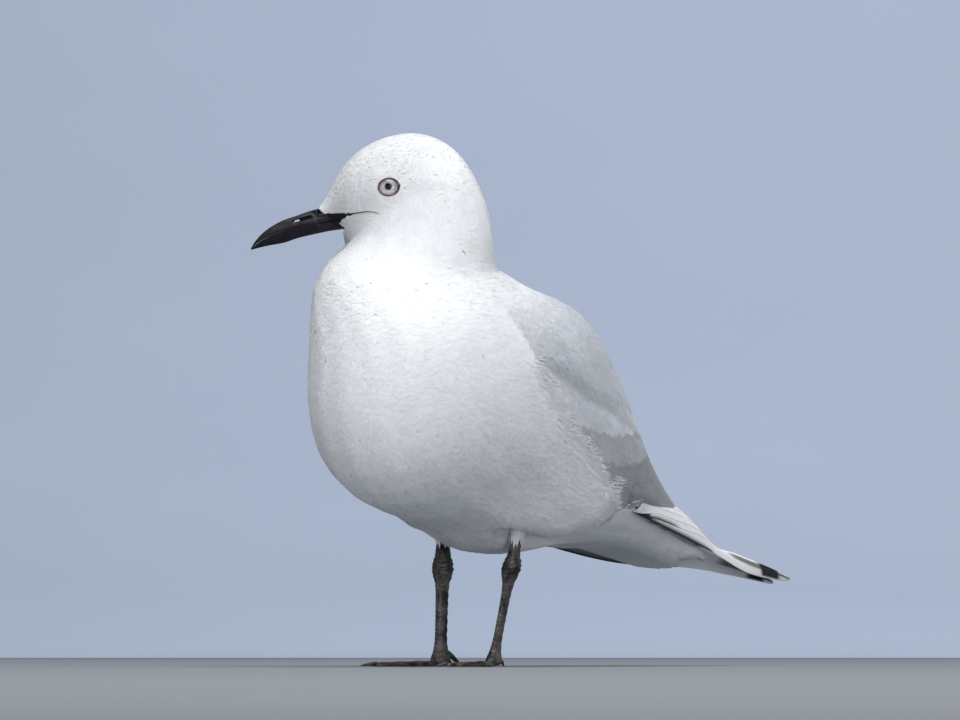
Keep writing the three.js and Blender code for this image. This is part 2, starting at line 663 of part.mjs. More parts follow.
const raised = (line, rise) => line.map(([back, height]) => [back, height + rise]);
const reversed = (line) => line.slice().reverse();
const [vent, rump] = TAIL_ROOT;
const overHead = [[FAR, FAR], [-FAR, FAR]];
const underFoot = [[FAR, -FAR], [-FAR, -FAR]];
const belowNeck = prism([...NECK_FOOT, ...underFoot], 'x', -FAR, FAR);
const tailSpace = prism([vent, rump, [FAR, rump[1]], [FAR, -FAR], [vent[0], -FAR]], 'x', -FAR, FAR);
const torso = body.intersect(belowNeck);
addPart('head', sideSlice(body, [...raised(NECK_TOP, GAP), ...overHead]), WHITE);
addPart('neck', sideSlice(body, [...raised(NECK_FOOT, GAP), ...reversed(NECK_TOP)]), WHITE);
addPart('trunk', largest(torso.subtract(tailSpace.translate([0, -GAP, 0]))), WHITE);
addPart('tail', largest(torso.intersect(tailSpace)), WHITE);

const bill = wholeHead.intersect(billRegion(0)).subtract(mouthCut()).subtract(nostril());
const halves = bill.decompose().sort((a, b) => b.volume() - a.volume()).slice(0, 2);
halves.sort((a, b) => b.boundingBox().max[2] - a.boundingBox().max[2]);
addPart('bill_upper', halves[0], BLACK, 0.3);
addPart('bill_lower', halves[1], BLACK, 0.3);

for (const [name, side] of Object.entries(SIDES)) {
  addPart(`eye_${name}`, eyeball(side, 0), PALE, 0.1);
  let wing = wholeBody.intersect(wingRegion(side, 0)).subtract(coreForm(0));
  wing = wing.subtract(handBlade(HAND.left, SIDES.left, 2 * GAP));
  wing = wing.subtract(handBlade(HAND.right, SIDES.right, 2 * GAP));
  addPart(`wing_${name}`, largest(wing), GREY);
  addPart(`primaries_${name}`, handBlade(HAND[name], side, 0), WHITE);
  addLeg(name, side);
}

// The origin is the middle of the bird's outer box, on the floor.
const box = new THREE.Box3().setFromObject(gull);
const centre = box.getCenter(new THREE.Vector3());
gull.position.set(-centre.x, -centre.y, -box.min.z);

export default gull;
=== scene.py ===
"""The looks of a standing black-billed gull: skin, plumage, bill, eyes and legs over the
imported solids. Tables of places are in mm, and all that is built from them is in metres."""

import math

import bpy
import numpy as np
from mathutils import Matrix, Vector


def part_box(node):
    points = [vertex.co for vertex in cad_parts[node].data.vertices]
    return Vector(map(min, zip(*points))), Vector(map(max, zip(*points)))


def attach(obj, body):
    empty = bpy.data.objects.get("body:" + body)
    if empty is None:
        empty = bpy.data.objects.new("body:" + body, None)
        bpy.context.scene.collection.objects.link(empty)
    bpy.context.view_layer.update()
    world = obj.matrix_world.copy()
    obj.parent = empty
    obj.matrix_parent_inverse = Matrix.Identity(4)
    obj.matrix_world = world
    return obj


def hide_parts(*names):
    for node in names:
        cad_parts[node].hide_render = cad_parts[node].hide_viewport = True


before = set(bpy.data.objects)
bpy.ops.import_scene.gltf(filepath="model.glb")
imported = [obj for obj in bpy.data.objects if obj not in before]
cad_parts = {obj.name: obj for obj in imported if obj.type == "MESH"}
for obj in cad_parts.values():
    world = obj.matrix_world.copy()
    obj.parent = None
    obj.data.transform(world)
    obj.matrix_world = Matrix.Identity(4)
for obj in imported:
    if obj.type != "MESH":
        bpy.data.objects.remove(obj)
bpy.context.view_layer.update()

MM = 0.001
SIDES = {"left": 1, "right": -1}
random = np.random.default_rng(11)
normal, chance = random.standard_normal, random.random

# ------------------------------------------------------------------ driving sizes

EYE_AHEAD = 12.7 * MM            # eye centres ahead of the neck's upright axis
BODY_BACK = 33                   # the origin of the bird's own places behind that axis, in mm
BODY_ROWS, BODY_COLUMNS = 300, 224   # grid of the measured body
DIRECTIONS = 360                 # rays in each measured section
CLEFT = (2, 4)                   # half widths of the clefts that are filled, in rows and rays
SOCKET_REACH = 8.0 * MM          # the measured surface is bridged this far round each eye
BRIDGE_STEPS, SMOOTHINGS = 400, 6

# Middles of the body's sections from the bill to the tail: ahead of the neck's axis and
# height in mm, lean of the section in degrees, share of the head's turn, and largest radius.
STATIONS = [
    (38.6, 191.6, 40, 1, 14), (36.4, 193.2, 66, 1, 16), (34.1, 196.2, 82, 1, 19),
    (30.4, 200, 95.7, 1, 24), (24.3, 203.2, 109.5, 1, 29), (16.9, 204.2, 122.9, 1, 33),
    (10.2, 201.7, 135.7, 1, 36), (6, 196.2, 147.7, 1, 40), (4, 189.2, 159.3, 0.98, 44),
    (3.9, 182, 168.3, 0.93, 50), (5, 174.9, 173, 0.8, 60), (6.4, 168, 174, 0.58, 70),
    (5.7, 162.8, 170.9, 0.33, 90), (3.1, 156, 166.9, 0.11, 90), (-1.1, 147.9, 162.9, 0, 90),
    (-7.3, 138.4, 159.3, 0, 90), (-15.5, 127.4, 156.5, 0, 90), (-26.6, 114.7, 155.4, 0, 90),
    (-41.9, 102, 155.4, 0, 90), (-60, 91.5, 156, 0, 90), (-78.7, 79.9, 156.4, 0, 90),
    (-100.6, 70.8, 155.5, 0, 90), (-122.3, 66.4, 155.9, 0, 90), (-143.2, 63.2, 156.8, 0, 90),
    (-162.7, 58.6, 153.3, 0, 90), (-181.7, 52.4, 146, 0, 90), (-199, 47.6, 138, 0, 90),
]

# Half height and half width of the face's sections in mm, for the first of the stations.
FACE_OVALS = [
    (6.5, 3.6), (8.4, 6.4), (13.3, 9.6), (18.1, 12.8), (23.1, 15.6), (28.0, 17.6), (30.5, 18.8),
    (31.8, 20.9),
]

# ------------------------------------------------------------------ numbers and curves


def unit(vectors):
    """Vectors divided by their length, along the last axis."""
    return vectors / np.maximum(np.linalg.norm(vectors, axis=-1, keepdims=True), 1e-12)


def ramp(low, high, x):
    """0 at low, 1 at high, and the cubic step t t (3 - 2 t) between; low may be above high."""
    t = np.clip((x - low) / (high - low), 0, 1)
    return t * t * (3 - 2 * t)


def band(x, a, b, c, d):
    """1 from b to c, 0 before a and after d, with cubic steps between."""
    return ramp(a, b, x) * ramp(d, c, x)


def bell(x, middle, width):
    """A bump of height 1: e to the power of minus ((x - middle) / width) squared."""
    return np.exp(-(((x - middle) / width) ** 2))


def turns(count):
    """Angles once round in even steps, from 0."""
    return np.linspace(0, 2 * np.pi, count, endpoint=False)


def lattice(rows, columns):
    """u and v of a grid: rows from 0 to 1 and columns once round."""
    return np.meshgrid(np.linspace(0, 1, rows), np.arange(columns) / columns, indexing="ij")


def through(rows, t):
    """The Catmull-Rom curve through the rows, evenly spaced, read at t from 0 to 1."""
    rows = np.asarray(rows, float).reshape(len(rows), -1)
    x = np.clip(np.asarray(t, float), 0, 1) * (len(rows) - 1)
    i = np.minimum(x.astype(int), len(rows) - 2)
    f = (x - i)[..., None]
    padded = np.vstack([2 * rows[0] - rows[1], rows, 2 * rows[-1] - rows[-2]])
    a, b, c, d = (padded[i + k] for k in range(4))
    square, cube = 2 * a - 5 * b + 4 * c - d, 3 * b - a - 3 * c + d
    return 0.5 * (2 * b + (c - a) * f + square * f**2 + cube * f**3)


def between(grid, x, y):
    """A grid read straight from each point to the next, at row x and column y. The columns go
    round."""
    i, j = np.minimum(x.astype(int), len(grid) - 2), y.astype(int) % grid.shape[1]
    k = (j + 1) % grid.shape[1]
    f, g = x - i, y - np.floor(y)
    if grid.ndim > 2:
        f, g = f[..., None], g[..., None]
    here, after = (grid[i, c] * (1 - f) + grid[i + 1, c] * f for c in (j, k))
    return here * (1 - g) + after * g


def middle(node):
    """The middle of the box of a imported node."""
    low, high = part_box(node)
    return (np.array(low) + np.array(high)) / 2


EYES = {side: middle(f"eye_{side}") for side in SIDES}
ACROSS_HEAD = unit(EYES["left"] - EYES["right"])
HEAD_TURN = math.atan2(-ACROSS_HEAD[1], ACROSS_HEAD[0])
AHEAD = np.array([ACROSS_HEAD[1], -ACROSS_HEAD[0], 0.0])
UP = np.array([0.0, 0.0, 1.0])
EYE_MIDDLE = (EYES["left"] + EYES["right"]) / 2
NECK_AXIS = (EYE_MIDDLE - EYE_AHEAD * AHEAD) * [1, 1, 0]


def head_place(ahead, left, height):
    """Points in the head's own directions, in metres from the neck's axis and the floor."""
    ahead, left, height = (np.asarray(value, float)[..., None] for value in (ahead, left, height))
    return NECK_AXIS + ahead * AHEAD + left * ACROSS_HEAD + height * UP


def bird_place(rows):
    """Points from rows of left, back and height in the body's own directions, in mm."""
    return NECK_AXIS + (np.asarray(rows, float) + [0, BODY_BACK, 0]) * MM


def node_triangles(names):
    """The triangles of some nodes as an array (triangle, corner, xyz)."""
    found = []
    for name in names:
        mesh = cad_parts[name].data
        mesh.calc_loop_triangles()
        points = np.empty(len(mesh.vertices) * 3)
        mesh.vertices.foreach_get("co", points)
        corners = np.empty(len(mesh.loop_triangles) * 3, int)
        mesh.loop_triangles.foreach_get("vertices", corners)
        found.append(points.reshape(-1, 3)[corners].reshape(-1, 3, 3))
    return np.concatenate(found)


# ------------------------------------------------------------------ the lie of the wing

# How far round from the back the folded wing reaches, evenly along WING_SPAN.
WING_EDGE = [0.232, 0.234, 0.236, 0.238, 0.240, 0.240, 0.246, 0.254, 0.250, 0.215, 0.150, 0.05]
WING_SPAN = (0.33, 0.93)
# The lower edge of the shoulder's lobe of long soft feathers, evenly along GROOVE_SPAN.
GROOVE = [0.240, 0.217, 0.198, 0.180, 0.158, 0.134, 0.105, 0.070]
GROOVE_SPAN = (0.385, 0.63)
# Where the long feathers of the flank end behind, from beside the wing down to the leg: how
# far round from the back, and u there.
FLANK_END = (
    [0.20, 0.223, 0.25, 0.29, 0.335, 0.375, 0.402, 0.415],
    [0.665, 0.679, 0.696, 0.716, 0.722, 0.699, 0.672, 0.64],
)


def off_back(v):
    """How far round from the back, either way: 0 at the back and 0.5 at the belly."""
    v = v % 1
    return np.minimum(v, 1 - v)


def to_back(v):
    """The way round to the back: -1 on the left side and 1 on the right."""
    return np.where(v % 1 < 0.5, -1.0, 1.0)


def along_span(rows, span, u):
    """One-number rows read evenly over a span of u."""
    low, high = span
    return through(rows, (u - low) / (high - low))[..., 0]


def wing_edge(u):
    """How far round from the back the wing's edge is."""
    return along_span(WING_EDGE, WING_SPAN, u)


def groove(u):
    """How far round from the back the groove under the shoulder's lobe is."""
    return along_span(GROOVE, GROOVE_SPAN, u)


def past_flank(u, v):
    """How far behind the end of the flank's feathers a place is, in u."""
    return u - np.interp(off_back(v), *FLANK_END)


def relief(u, v):
    """Height added to the measured body: the crown's full feathers, the flank's lap over the
    wing and its end before the undertail, a hollow round each leg, the flatter vent, and the
    lobe over the shoulder with a groove below it."""
    off, past = off_back(v), past_flank(u, v)
    beyond, under = off - wing_edge(u), groove(u) - off
    crown = band(u, 0.02, 0.06, 0.17, 0.24) * ramp(0.35, 0.2, off)
    lap = 0.6 * band(beyond, -0.012, 0.012, 0.0, 0.20) * band(u, 0.34, 0.40, 0.74, 0.80)
    flank = 1.2 * band(past, -0.15, -0.03, -0.008, 0.006)
    flank = flank - 1.8 * band(past, -0.008, 0.006, 0.03, 0.14)
    flank = flank * band(off, 0.195, 0.23, 0.405, 0.440)
    leg = -3.6 * bell(u, 0.668, 0.024) * bell(off, 0.425, 0.024)
    vent = -0.5 * ramp(0.25, 0.4, off) * ramp(0.4, 0.55, u)
    vent -= 1.1 * ramp(0.88, 0.99, u) * ramp(0.28, 0.42, off)
    vent -= 2.8 * bell(u, 0.775, 0.05) * ramp(0.38, 0.46, off)
    vent -= 3.4 * bell(u, 0.616, 0.038) * ramp(0.38, 0.48, off)
    vent -= 2.6 * band(u, 0.82, 0.87, 0.92, 0.96) * ramp(0.38, 0.46, off)
    lobe = 0.75 * ramp(-0.004, 0.020, under) - 0.25 * bell(under, -0.006, 0.008)
    lobe = lobe * band(u, 0.36, 0.42, 0.54, 0.62)
    return (crown + lap + flank + leg + vent + lobe) * MM


# ------------------------------------------------------------------ the body's measured surface

FLESH = ["head", "neck", "trunk", "tail", "wing_left", "wing_right"]
BILLS = ["bill_upper", "bill_lower"]


def section_radii(origin, back, side, limit, triangles):
    """A plane through origin cuts the triangles into short lines. For each direction
    cos(angle) * back + sin(angle) * side this gives the farthest crossing within the limit."""
    offsets = (triangles - origin) @ np.cross(back, side)
    cut = (offsets.min(1) < 0) & (offsets.max(1) >= 0)
    corners, offsets = triangles[cut], offsets[cut]
    after, offsets_after = np.roll(corners, -1, axis=1), np.roll(offsets, -1, axis=1)
    crossing = (offsets < 0) != (offsets_after < 0)
    step = offsets - offsets_after
    share = np.where(crossing, offsets / np.where(step == 0, 1, step), 0)
    ends = (corners + (after - corners) * share[..., None])[crossing].reshape(-1, 2, 3) - origin
    flat = np.stack([ends @ back, ends @ side], -1)
    start, run = flat[:, 0], flat[:, 1] - flat[:, 0]
    angles = turns(DIRECTIONS)
    ray = np.stack([np.cos(angles), np.sin(angles)], -1)
    turn = ray[:, None, 0] * run[None, :, 1] - ray[:, None, 1] * run[None, :, 0]
    offset = ray[:, None, 0] * start[None, :, 1] - ray[:, None, 1] * start[None, :, 0]
    along = -offset / np.where(np.abs(turn) < 1e-15, 1e-15, turn)
    reach = (ray[:, None] * (start + along[..., None] * run)).sum(-1)
    met = (along >= -1e-6) & (along <= 1 + 1e-6) & (reach < limit)
    return np.where(met, reach, 0).max(1)


def shifted(grid, rows, columns):
    """The grid moved by whole steps: rows stop at the ends and columns go round."""
    index = np.clip(np.arange(len(grid)) + rows, 0, len(grid) - 1)
    return np.roll(grid[index], columns, axis=1)


def closed(grid, rows, columns):
    """Fills narrow clefts: the largest of the neighbours, and then the smallest of those."""
    window = [(r, c) for r in range(-rows, rows + 1) for c in range(-columns, columns + 1)]
    grown = np.max([shifted(grid, r, c) for r, c in window], axis=0)
    return np.min([shifted(grown, r, c) for r, c in window], axis=0)


def smoothed(grid, times):
    """Each point moves to the mean of itself, twice, and its neighbours before and after."""
    for _ in range(times):
        grid = (2 * grid + shifted(grid, 0, 1) + shifted(grid, 0, -1)) / 4
        middle_rows = (2 * grid[1:-1] + grid[:-2] + grid[2:]) / 4
        grid = np.concatenate([grid[:1], middle_rows, grid[-1:]])
    return grid


def evenly(points, count):
    """Rows read again at even steps of the length that the columns run on average."""
    steps = np.linalg.norm(np.diff(points, axis=0), axis=-1).mean(1)
    place = np.r_[0, np.cumsum(steps)]
    row = np.interp(np.linspace(0, place[-1], count), place, np.arange(len(place)))
    i = np.minimum(row.astype(int), len(points) - 2)
    f = (row - i)[:, None, None]
    return points[i] * (1 - f) + points[i + 1] * f


def half_ring(ring, count):
    """Points read again at even steps along an open line, without its last point."""
    place = np.r_[0, np.cumsum(np.linalg.norm(np.diff(ring, axis=0), axis=-1))]
    want = np.linspace(0, place[-1], count + 1)[:-1]
    return np.stack([np.interp(want, place, ring[:, k]) for k in range(3)], -1)


class Surface:
    """A grid of points on the outside of the bird. u runs from 0 at the bill to 1 at the tail,
    and v once round from 0 at the back over the left side (0.25) and the belly (0.5)."""

    def __init__(self, points):
        rows, columns = points.shape[:2]
        self.points = points
        self.along = np.gradient(points, 1 / (rows - 1), axis=0)
        self.around = (shifted(points, 0, -1) - shifted(points, 0, 1)) * columns / 2
        out = np.cross(self.around, self.along)
        self.normals, self.area = unit(out), np.linalg.norm(out, axis=-1)

    def read(self, grid, u, v):
        """A grid of the surface's own size read at (u, v)."""
        rows, columns = grid.shape[:2]
        return between(grid, np.clip(u, 0, 1) * (rows - 1), (v % 1) * columns)

    def place(self, u, v, height=0.0):
        """Points at a height over the surface, along its normals."""
        over = self.read(self.normals, u, v) * np.asarray(height)[..., None]
        return self.read(self.points, u, v) + over


def measured_body():
    """Sections through the solids, cleaned of the clefts between them and of the eye sockets,
    evenly spaced both ways, smoothed, and raised by the relief."""
    triangles = node_triangles(FLESH + BILLS)
    t = np.linspace(0, 1, BODY_ROWS)
    ahead, height, lean, turn, limit = through(STATIONS, t).T
    turn, lean = turn * HEAD_TURN, np.radians(lean)
    forward = np.stack([-np.sin(turn), -np.cos(turn), 0 * turn], -1)
    side = np.stack([np.cos(turn), -np.sin(turn), 0 * turn], -1)
    origins = NECK_AXIS + ahead[:, None] * MM * forward + height[:, None] * MM * UP
    backs = np.cos(lean)[:, None] * forward + np.sin(lean)[:, None] * UP
    sections = zip(origins, backs, side, limit)
    radii = np.array([section_radii(o, b, s, far * MM, triangles) for o, b, s, far in sections])
    radii = closed(radii, *CLEFT)
    station = t * (len(STATIONS) - 1)
    high, wide = through(FACE_OVALS, station / (len(FACE_OVALS) - 1)).T[..., None] * MM
    cos, sin = np.cos(turns(DIRECTIONS)), np.sin(turns(DIRECTIONS))
    radii += (1 / np.hypot(cos / high, sin / wide) - radii) * ramp(7.0, 6.0, station)[:, None]
    rays = cos[None, :, None] * backs[:, None] + sin[None, :, None] * side[:, None]

    points = origins[:, None] + radii[..., None] * rays
    socket = np.zeros(radii.shape, bool)
    for eye in EYES.values():
        socket |= np.linalg.norm(points - eye, axis=-1) < SOCKET_REACH
    radii[socket] = np.median(radii[socket])
    for _ in range(BRIDGE_STEPS):
        near = [shifted(radii, *by) for by in ((1, 0), (-1, 0), (0, 1), (0, -1))]
        radii = np.where(socket, sum(near) / 4, radii)
    points = origins[:, None] + radii[..., None] * rays

    half, count = DIRECTIONS // 2, BODY_COLUMNS // 2
    left = [half_ring(ring[: half + 1], count) for ring in points]
    right = [half_ring(np.vstack([ring[half:], ring[:1]]), count) for ring in points]
    rings = np.concatenate([left, right], axis=1)
    plain = Surface(smoothed(evenly(rings, BODY_ROWS), SMOOTHINGS))
    u, v = lattice(BODY_ROWS, BODY_COLUMNS)
    return Surface(plain.points + plain.normals * relief(u, v)[..., None])


BODY = measured_body()

# ------------------------------------------------------------------ meshes


def grid_faces(rows, columns, around=False):
    """Four-cornered faces of a grid of points; around joins the last column to the first."""
    last = columns if around else columns - 1
    i, j = np.meshgrid(np.arange(rows - 1), np.arange(last), indexing="ij")
    here, after = (i * columns).ravel(), ((i + 1) * columns).ravel()
    j = j.ravel()
    k = (j + 1) % columns
    return np.stack([here + j, here + k, after + k, after + j], -1)


def tube(points):
    """A closed skin over rings of points: points, four-cornered sides and a fan over each end."""
    rows, columns = points.shape[:2]
    flat = np.vstack([points.reshape(-1, 3), points[0].mean(0), points[-1].mean(0)])
    first = np.arange(columns)
    after = (first + 1) % columns
    last = (rows - 1) * columns
    start = np.stack([np.full(columns, rows * columns), after, first], -1)
    end = np.stack([np.full(columns, rows * columns + 1), last + first, last + after], -1)
    return flat, [grid_faces(rows, columns, True), start, end]


def tubes(rings, turned=False):
    """Many closed skins at once, from an array (skin, row, column, xyz). Turned ones run the
    other way round."""
    made = [tube(ring) for ring in rings]
    count = len(made[0][0])
    faces = [np.concatenate([f[k] + n * count for n, (_, f) in enumerate(made)]) for k in range(3)]
    faces = [face[:, ::-1] for face in faces] if turned else faces
    return np.concatenate([points for points, _ in made]), faces


def with_ends(flat):
    """Values of a tube's points, with the first and the last once more for its two ends."""
    return np.vstack([flat, flat[0], flat[-1]])


def put(name, data):
    """An object in the scene with a mesh, a lamp or the camera."""
    made = bpy.data.objects.new(name, data)
    bpy.context.scene.collection.objects.link(made)
    return made


def piece(name, material, points, faces, tint=None, uvs=None, stands_for=(), normals=None):
    """One object that belongs to the bird. UVs are given for each point or for each face corner,
    and normals, where the shading is to be smoother than the shape, for each point."""
    faces = faces if isinstance(faces, list) else [faces]
    points = points.reshape(-1, 3)
    corners = np.concatenate([face.ravel() for face in faces])
    sizes = np.concatenate([np.full(len(face), face.shape[1]) for face in faces])
    mesh = bpy.data.meshes.new(name)
    mesh.vertices.add(len(points))
    mesh.vertices.foreach_set("co", points.ravel())
    mesh.loops.add(len(corners))
    mesh.loops.foreach_set("vertex_index", corners)
    mesh.polygons.add(len(sizes))
    mesh.polygons.foreach_set("loop_start", np.cumsum(sizes) - sizes)
    mesh.update(calc_edges=True)
    mesh.polygons.foreach_set("use_smooth", np.ones(len(sizes), bool))
    for layer, value in (uvs or {}).items():
        value = value.reshape(-1, 2)
        value = value[corners] if len(value) == len(points) else value
        mesh.uv_layers.new(name=layer).data.foreach_set("uv", value.ravel())
    if tint is not None:
        colours = mesh.color_attributes.new("tint", "FLOAT_COLOR", "POINT")
        colours.data.foreach_set("color", np.c_[tint.reshape(-1, 3), np.ones(len(points))].ravel())
    if normals is not None:
        mesh.normals_split_custom_set_from_vertices(normals.reshape(-1, 3))
    mesh.materials.append(material)
    made = put(name, mesh)
    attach(made, "root")
    if stands_for:
        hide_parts(*stands_for)


# ------------------------------------------------------------------ materials


class Material:
    """A procedural material around one Principled shader."""

    def __init__(self, name, **inputs):
        self.made = bpy.data.materials.new(name)
        self.made.use_nodes = True
        self.tree = self.made.node_tree
        self.shader = self.tree.nodes["Principled BSDF"]
        self.set(**inputs)

    def set(self, **inputs):
        """Inputs of the shader, each from a value or from another node."""
        for name, value in inputs.items():
            self.join(self.shader.inputs[name.replace("_", " ")], value)

    def join(self, socket, value):
        """A link into a socket, or its value."""
        if isinstance(value, bpy.types.NodeSocket):
            self.tree.links.new(value, socket)
        else:
            socket.default_value = value

    def add(self, kind, *inputs, **settings):
        """A node with its inputs in order (None leaves one alone); the first output comes back."""
        node = self.tree.nodes.new("ShaderNode" + kind)
        for key, value in settings.items():
            setattr(node, key, value)
        for socket, value in zip(node.inputs, inputs):
            if value is not None:
                self.join(socket, value)
        return node.outputs[0]

    def math(self, operation, *inputs):
        """The outcome of an operation on numbers."""
        return self.add("Math", *inputs, operation=operation)

    def plus(self, a, b):
        """The sum of two."""
        return self.math("ADD", a, b)

    def times(self, a, b):
        """The product of two."""
        return self.math("MULTIPLY", a, b)

    def where(self):
        """Places on the bird, in metres."""
        return self.add("TexCoord").node.outputs["Object"]

    def tint(self):
        """The colour that each point of the mesh has."""
        return self.add("Attribute", attribute_name="tint")

    def noise(self, place, scale, detail=3.0):
        """Soft noise, with a scale to the metre."""
        return self.add("TexNoise", place, None, scale, detail)

    def spread(self, value, low, high, new_low=0.0, new_high=1.0):
        """A value from low to high moved to the range from new_low to new_high."""
        return self.add("MapRange", value, low, high, new_low, new_high, clamp=True)

    def scaled(self, colour, factor):
        """A colour times a number."""
        return self.add("VectorMath", colour, factor, operation="MULTIPLY")

    def shades(self, value, first, second, places=(0.0, 1.0)):
        """A blend from one colour to another, as a value goes from one place to the next."""
        colour = self.add("ValToRGB", value)
        elements = colour.node.color_ramp.elements
        for element, place, own in zip(elements, places, (first, second)):
            element.position, element.color = place, (*own, 1)
        return colour

    def bump(self, height, distance, strength=1.0):
        """Fine relief from a height."""
        node = self.tree.nodes.new("ShaderNodeBump")
        self.join(node.inputs["Height"], height)
        node.inputs["Distance"].default_value = distance
        node.inputs["Strength"].default_value = strength
        self.set(Normal=node.outputs[0])


def feather_material(name, barbs, slant, relief, rim, streak, sheen=0.12, shine=0.25):
    """Each feather takes its own tint. Barbs run out from its middle, and its rim is paler."""
    made = Material(name, Roughness=0.72, Sheen_Weight=sheen, Specular_IOR_Level=shine)
    tint = made.tint()
    across, along = made.add("SeparateXYZ", made.add("UVMap", uv_map="vane")).node.outputs[:2]
    off_middle = made.math("ABSOLUTE", made.math("SUBTRACT", across, 0.5))
    phase = made.math("SUBTRACT", made.times(along, barbs), made.times(off_middle, slant))
    uneven = made.noise(made.where(), 900.0)
    phase = made.plus(phase, made.times(uneven, 2.2))
    wave = made.math("SINE", made.times(phase, 2 * math.pi))
    shaft = made.spread(off_middle, 0.0, 0.035, 1.0, 0.0)
    ends = made.spread(off_middle, 0.40, 0.5), made.spread(along, 0.9, 1.0)
    light = made.plus(made.times(made.math("MAXIMUM", *ends), rim), made.times(wave, 0.02))
    mottle = made.spread(made.noise(made.where(), 160.0), 0.3, 0.7, -0.035, 0.035)
    spot = made.scaled(made.where(), (70.0, 70.0, 70.0))
    own = made.add("CombineXYZ", made.times(across, 7.0), made.times(along, 0.8), 0.0)
    streaks = made.noise(made.add("VectorMath", spot, own, operation="ADD"), 1.0, 2.0)
    light = made.plus(light, made.spread(streaks, 0.3, 0.7, -streak, streak))
    light = made.plus(made.plus(light, mottle), 1.0)
    made.set(Base_Color=made.scaled(tint, light))
    made.bump(made.plus(made.times(wave, 0.5), made.times(shaft, 1.5)), relief)
    return made.made


def tinted_material(name, scale, depth, **inputs):
    """The mesh's own tint with a fine grain in relief."""
    made = Material(name, **inputs)
    made.set(Base_Color=made.tint())
    made.bump(made.noise(made.where(), scale), depth)
    return made.made


FINE = feather_material("soft body feathers", 3.0, 9.0, 0.03 * MM, 0.0, 0.02)
VANED = feather_material("smooth wing feathers", 34.0, 26.0, 0.03 * MM, 0.03, 0.09)
FLIGHT = feather_material("stiff flight feathers", 120.0, 40.0, 0.04 * MM, 0.04, 0.03, 0.02, 0.14)

# ------------------------------------------------------------------ markings

WHITE = np.array([0.80, 0.815, 0.84])
GREY = np.array([0.545, 0.57, 0.622])
# painted shade round the eyes, where the face's feather relief shades them
EYE_SHADE = np.array([0.50, 0.53, 0.57])
# painted shade: how much darker the undertail is made, as it lies in the bird's own shadow
UNDERTAIL_SHADE = np.array([0.20, 0.17, 0.175])    # how much darker the undertail is


def greyness(u, v):
    """1 on the mantle and the folded wings, with a soft edge to the white hindneck."""
    high = WING_SPAN[1]
    side = ramp(-0.006, 0.006, wing_edge(u) - off_back(v))
    return side * ramp(0.290, 0.392, u) * (1 - ramp(high - 0.01, high, u))


def plumage(u, v):
    """The colour of the feathers at a place on the body: white and grey, with a faint grey of
    painted shade before each eye and behind it, where the face's feathers shade it, and painted
    shade that darkens the undertail."""
    points = BODY.place(u, v)
    colour = WHITE + (GREY - WHITE) * greyness(u, v)[..., None]
    for eye in EYES.values():
        offset = points - eye
        ahead, up = offset @ AHEAD, offset[..., 2]
        # painted shade before each eye and behind it
        front = bell(ahead, 6.3 * MM, 2.8 * MM) * bell(up, -1.6 * MM, 3.2 * MM)
        shade_behind = bell(ahead, -13 * MM, 8 * MM) * bell(up, 2.5 * MM, 2.8 * MM)
        near = np.linalg.norm(offset, axis=-1) < 24 * MM
        colour = colour + (EYE_SHADE - colour) * ((0.15 * front + 0.36 * shade_behind) * near)[..., None]
    # painted shade on the undertail and the vent, which lie in the bird's own shadow
    below = ramp(0.30, 0.40, off_back(v)) * ramp(0.70, 0.80, u)
    return colour * (1 - UNDERTAIL_SHADE * below[..., None])


# ------------------------------------------------------------------ skin

EYE_LOOK = (0.13, 0.98, 0.19)    # an eye's axis: ahead, out to its side, up
SOCKET = 4.5 * MM
RING_AHEAD, RING_UP = 4.5 * MM, 3.75 * MM    # the lids' half width and half height
RING_MIDDLE = (-0.38 * MM, -0.40 * MM)       # ahead and up from the eye's axis
FACE_REACH = 9.0 * MM            # how far round an eye the height of the face is measured
FACE_COAT, BODY_COAT = 0.40 * MM, 1.25 * MM
SKIN_ROWS, SKIN_COLUMNS = 300, 272
UNDER_BILL, IN_SOCKET, AT_TAIL = 2.6 * MM, 3.4 * MM, 3.0 * MM    # how far the skin is sunk
# Behind this line the face is feathered over the root of the bill: height, and ahead of the neck.
FACE_LINE = ([181.5, 184.0, 187.4, 189.6, 193.8], [60.0, 33.6, 32.3, 34.8, 27.6])
FACE_TOP, FACE_FRONT = 193.7, 43.7


def eye_axes(side):
    """The axis of an eye, and the directions ahead and up across it."""
    ahead, out, up = EYE_LOOK
    axis = unit(ahead * AHEAD + out * SIDES[side] * ACROSS_HEAD + up * UP)
    front = unit(AHEAD - (AHEAD @ axis) * axis)
    top = unit(UP - (UP @ axis) * axis - (UP @ front) * front)
    return axis, front, top


def off_eye(points, side):
    """Distances from the middle of an eye's lids, longer upwards as their ring is lower than
    it is wide, and points in front of the eye's middle as true."""
    axis, front, top = eye_axes(side)
    offset = points - EYES[side]
    ahead, up = offset @ front - RING_MIDDLE[0], offset @ top - RING_MIDDLE[1]
    return np.hypot(ahead, up * RING_AHEAD / RING_UP), offset @ axis > 0


def face_height(side, ahead, up):
    """Height of the face over an eye's middle along its axis: the second-order surface
    c0 + c1 x + c2 y + c3 x x + c4 x y + c5 y y nearest to the body's points round the eye."""
    def terms(x, y):
        return np.stack([1 + 0 * x, x, y, x * x, x * y, y * y], -1)

    axis, front, top = eye_axes(side)
    offset = BODY.points.reshape(-1, 3) - EYES[side]
    distance, facing = off_eye(BODY.points.reshape(-1, 3), side)
    offset = offset[(distance < FACE_REACH) & facing]
    found = np.linalg.lstsq(terms(offset @ front, offset @ top), offset @ axis, rcond=None)[0]
    return terms(ahead, up) @ found


def coat_depth(u):
    """Depth of the coat: thin on the face and full on the body."""
    return FACE_COAT + (BODY_COAT - FACE_COAT) * ramp(0.09, 0.30, u)


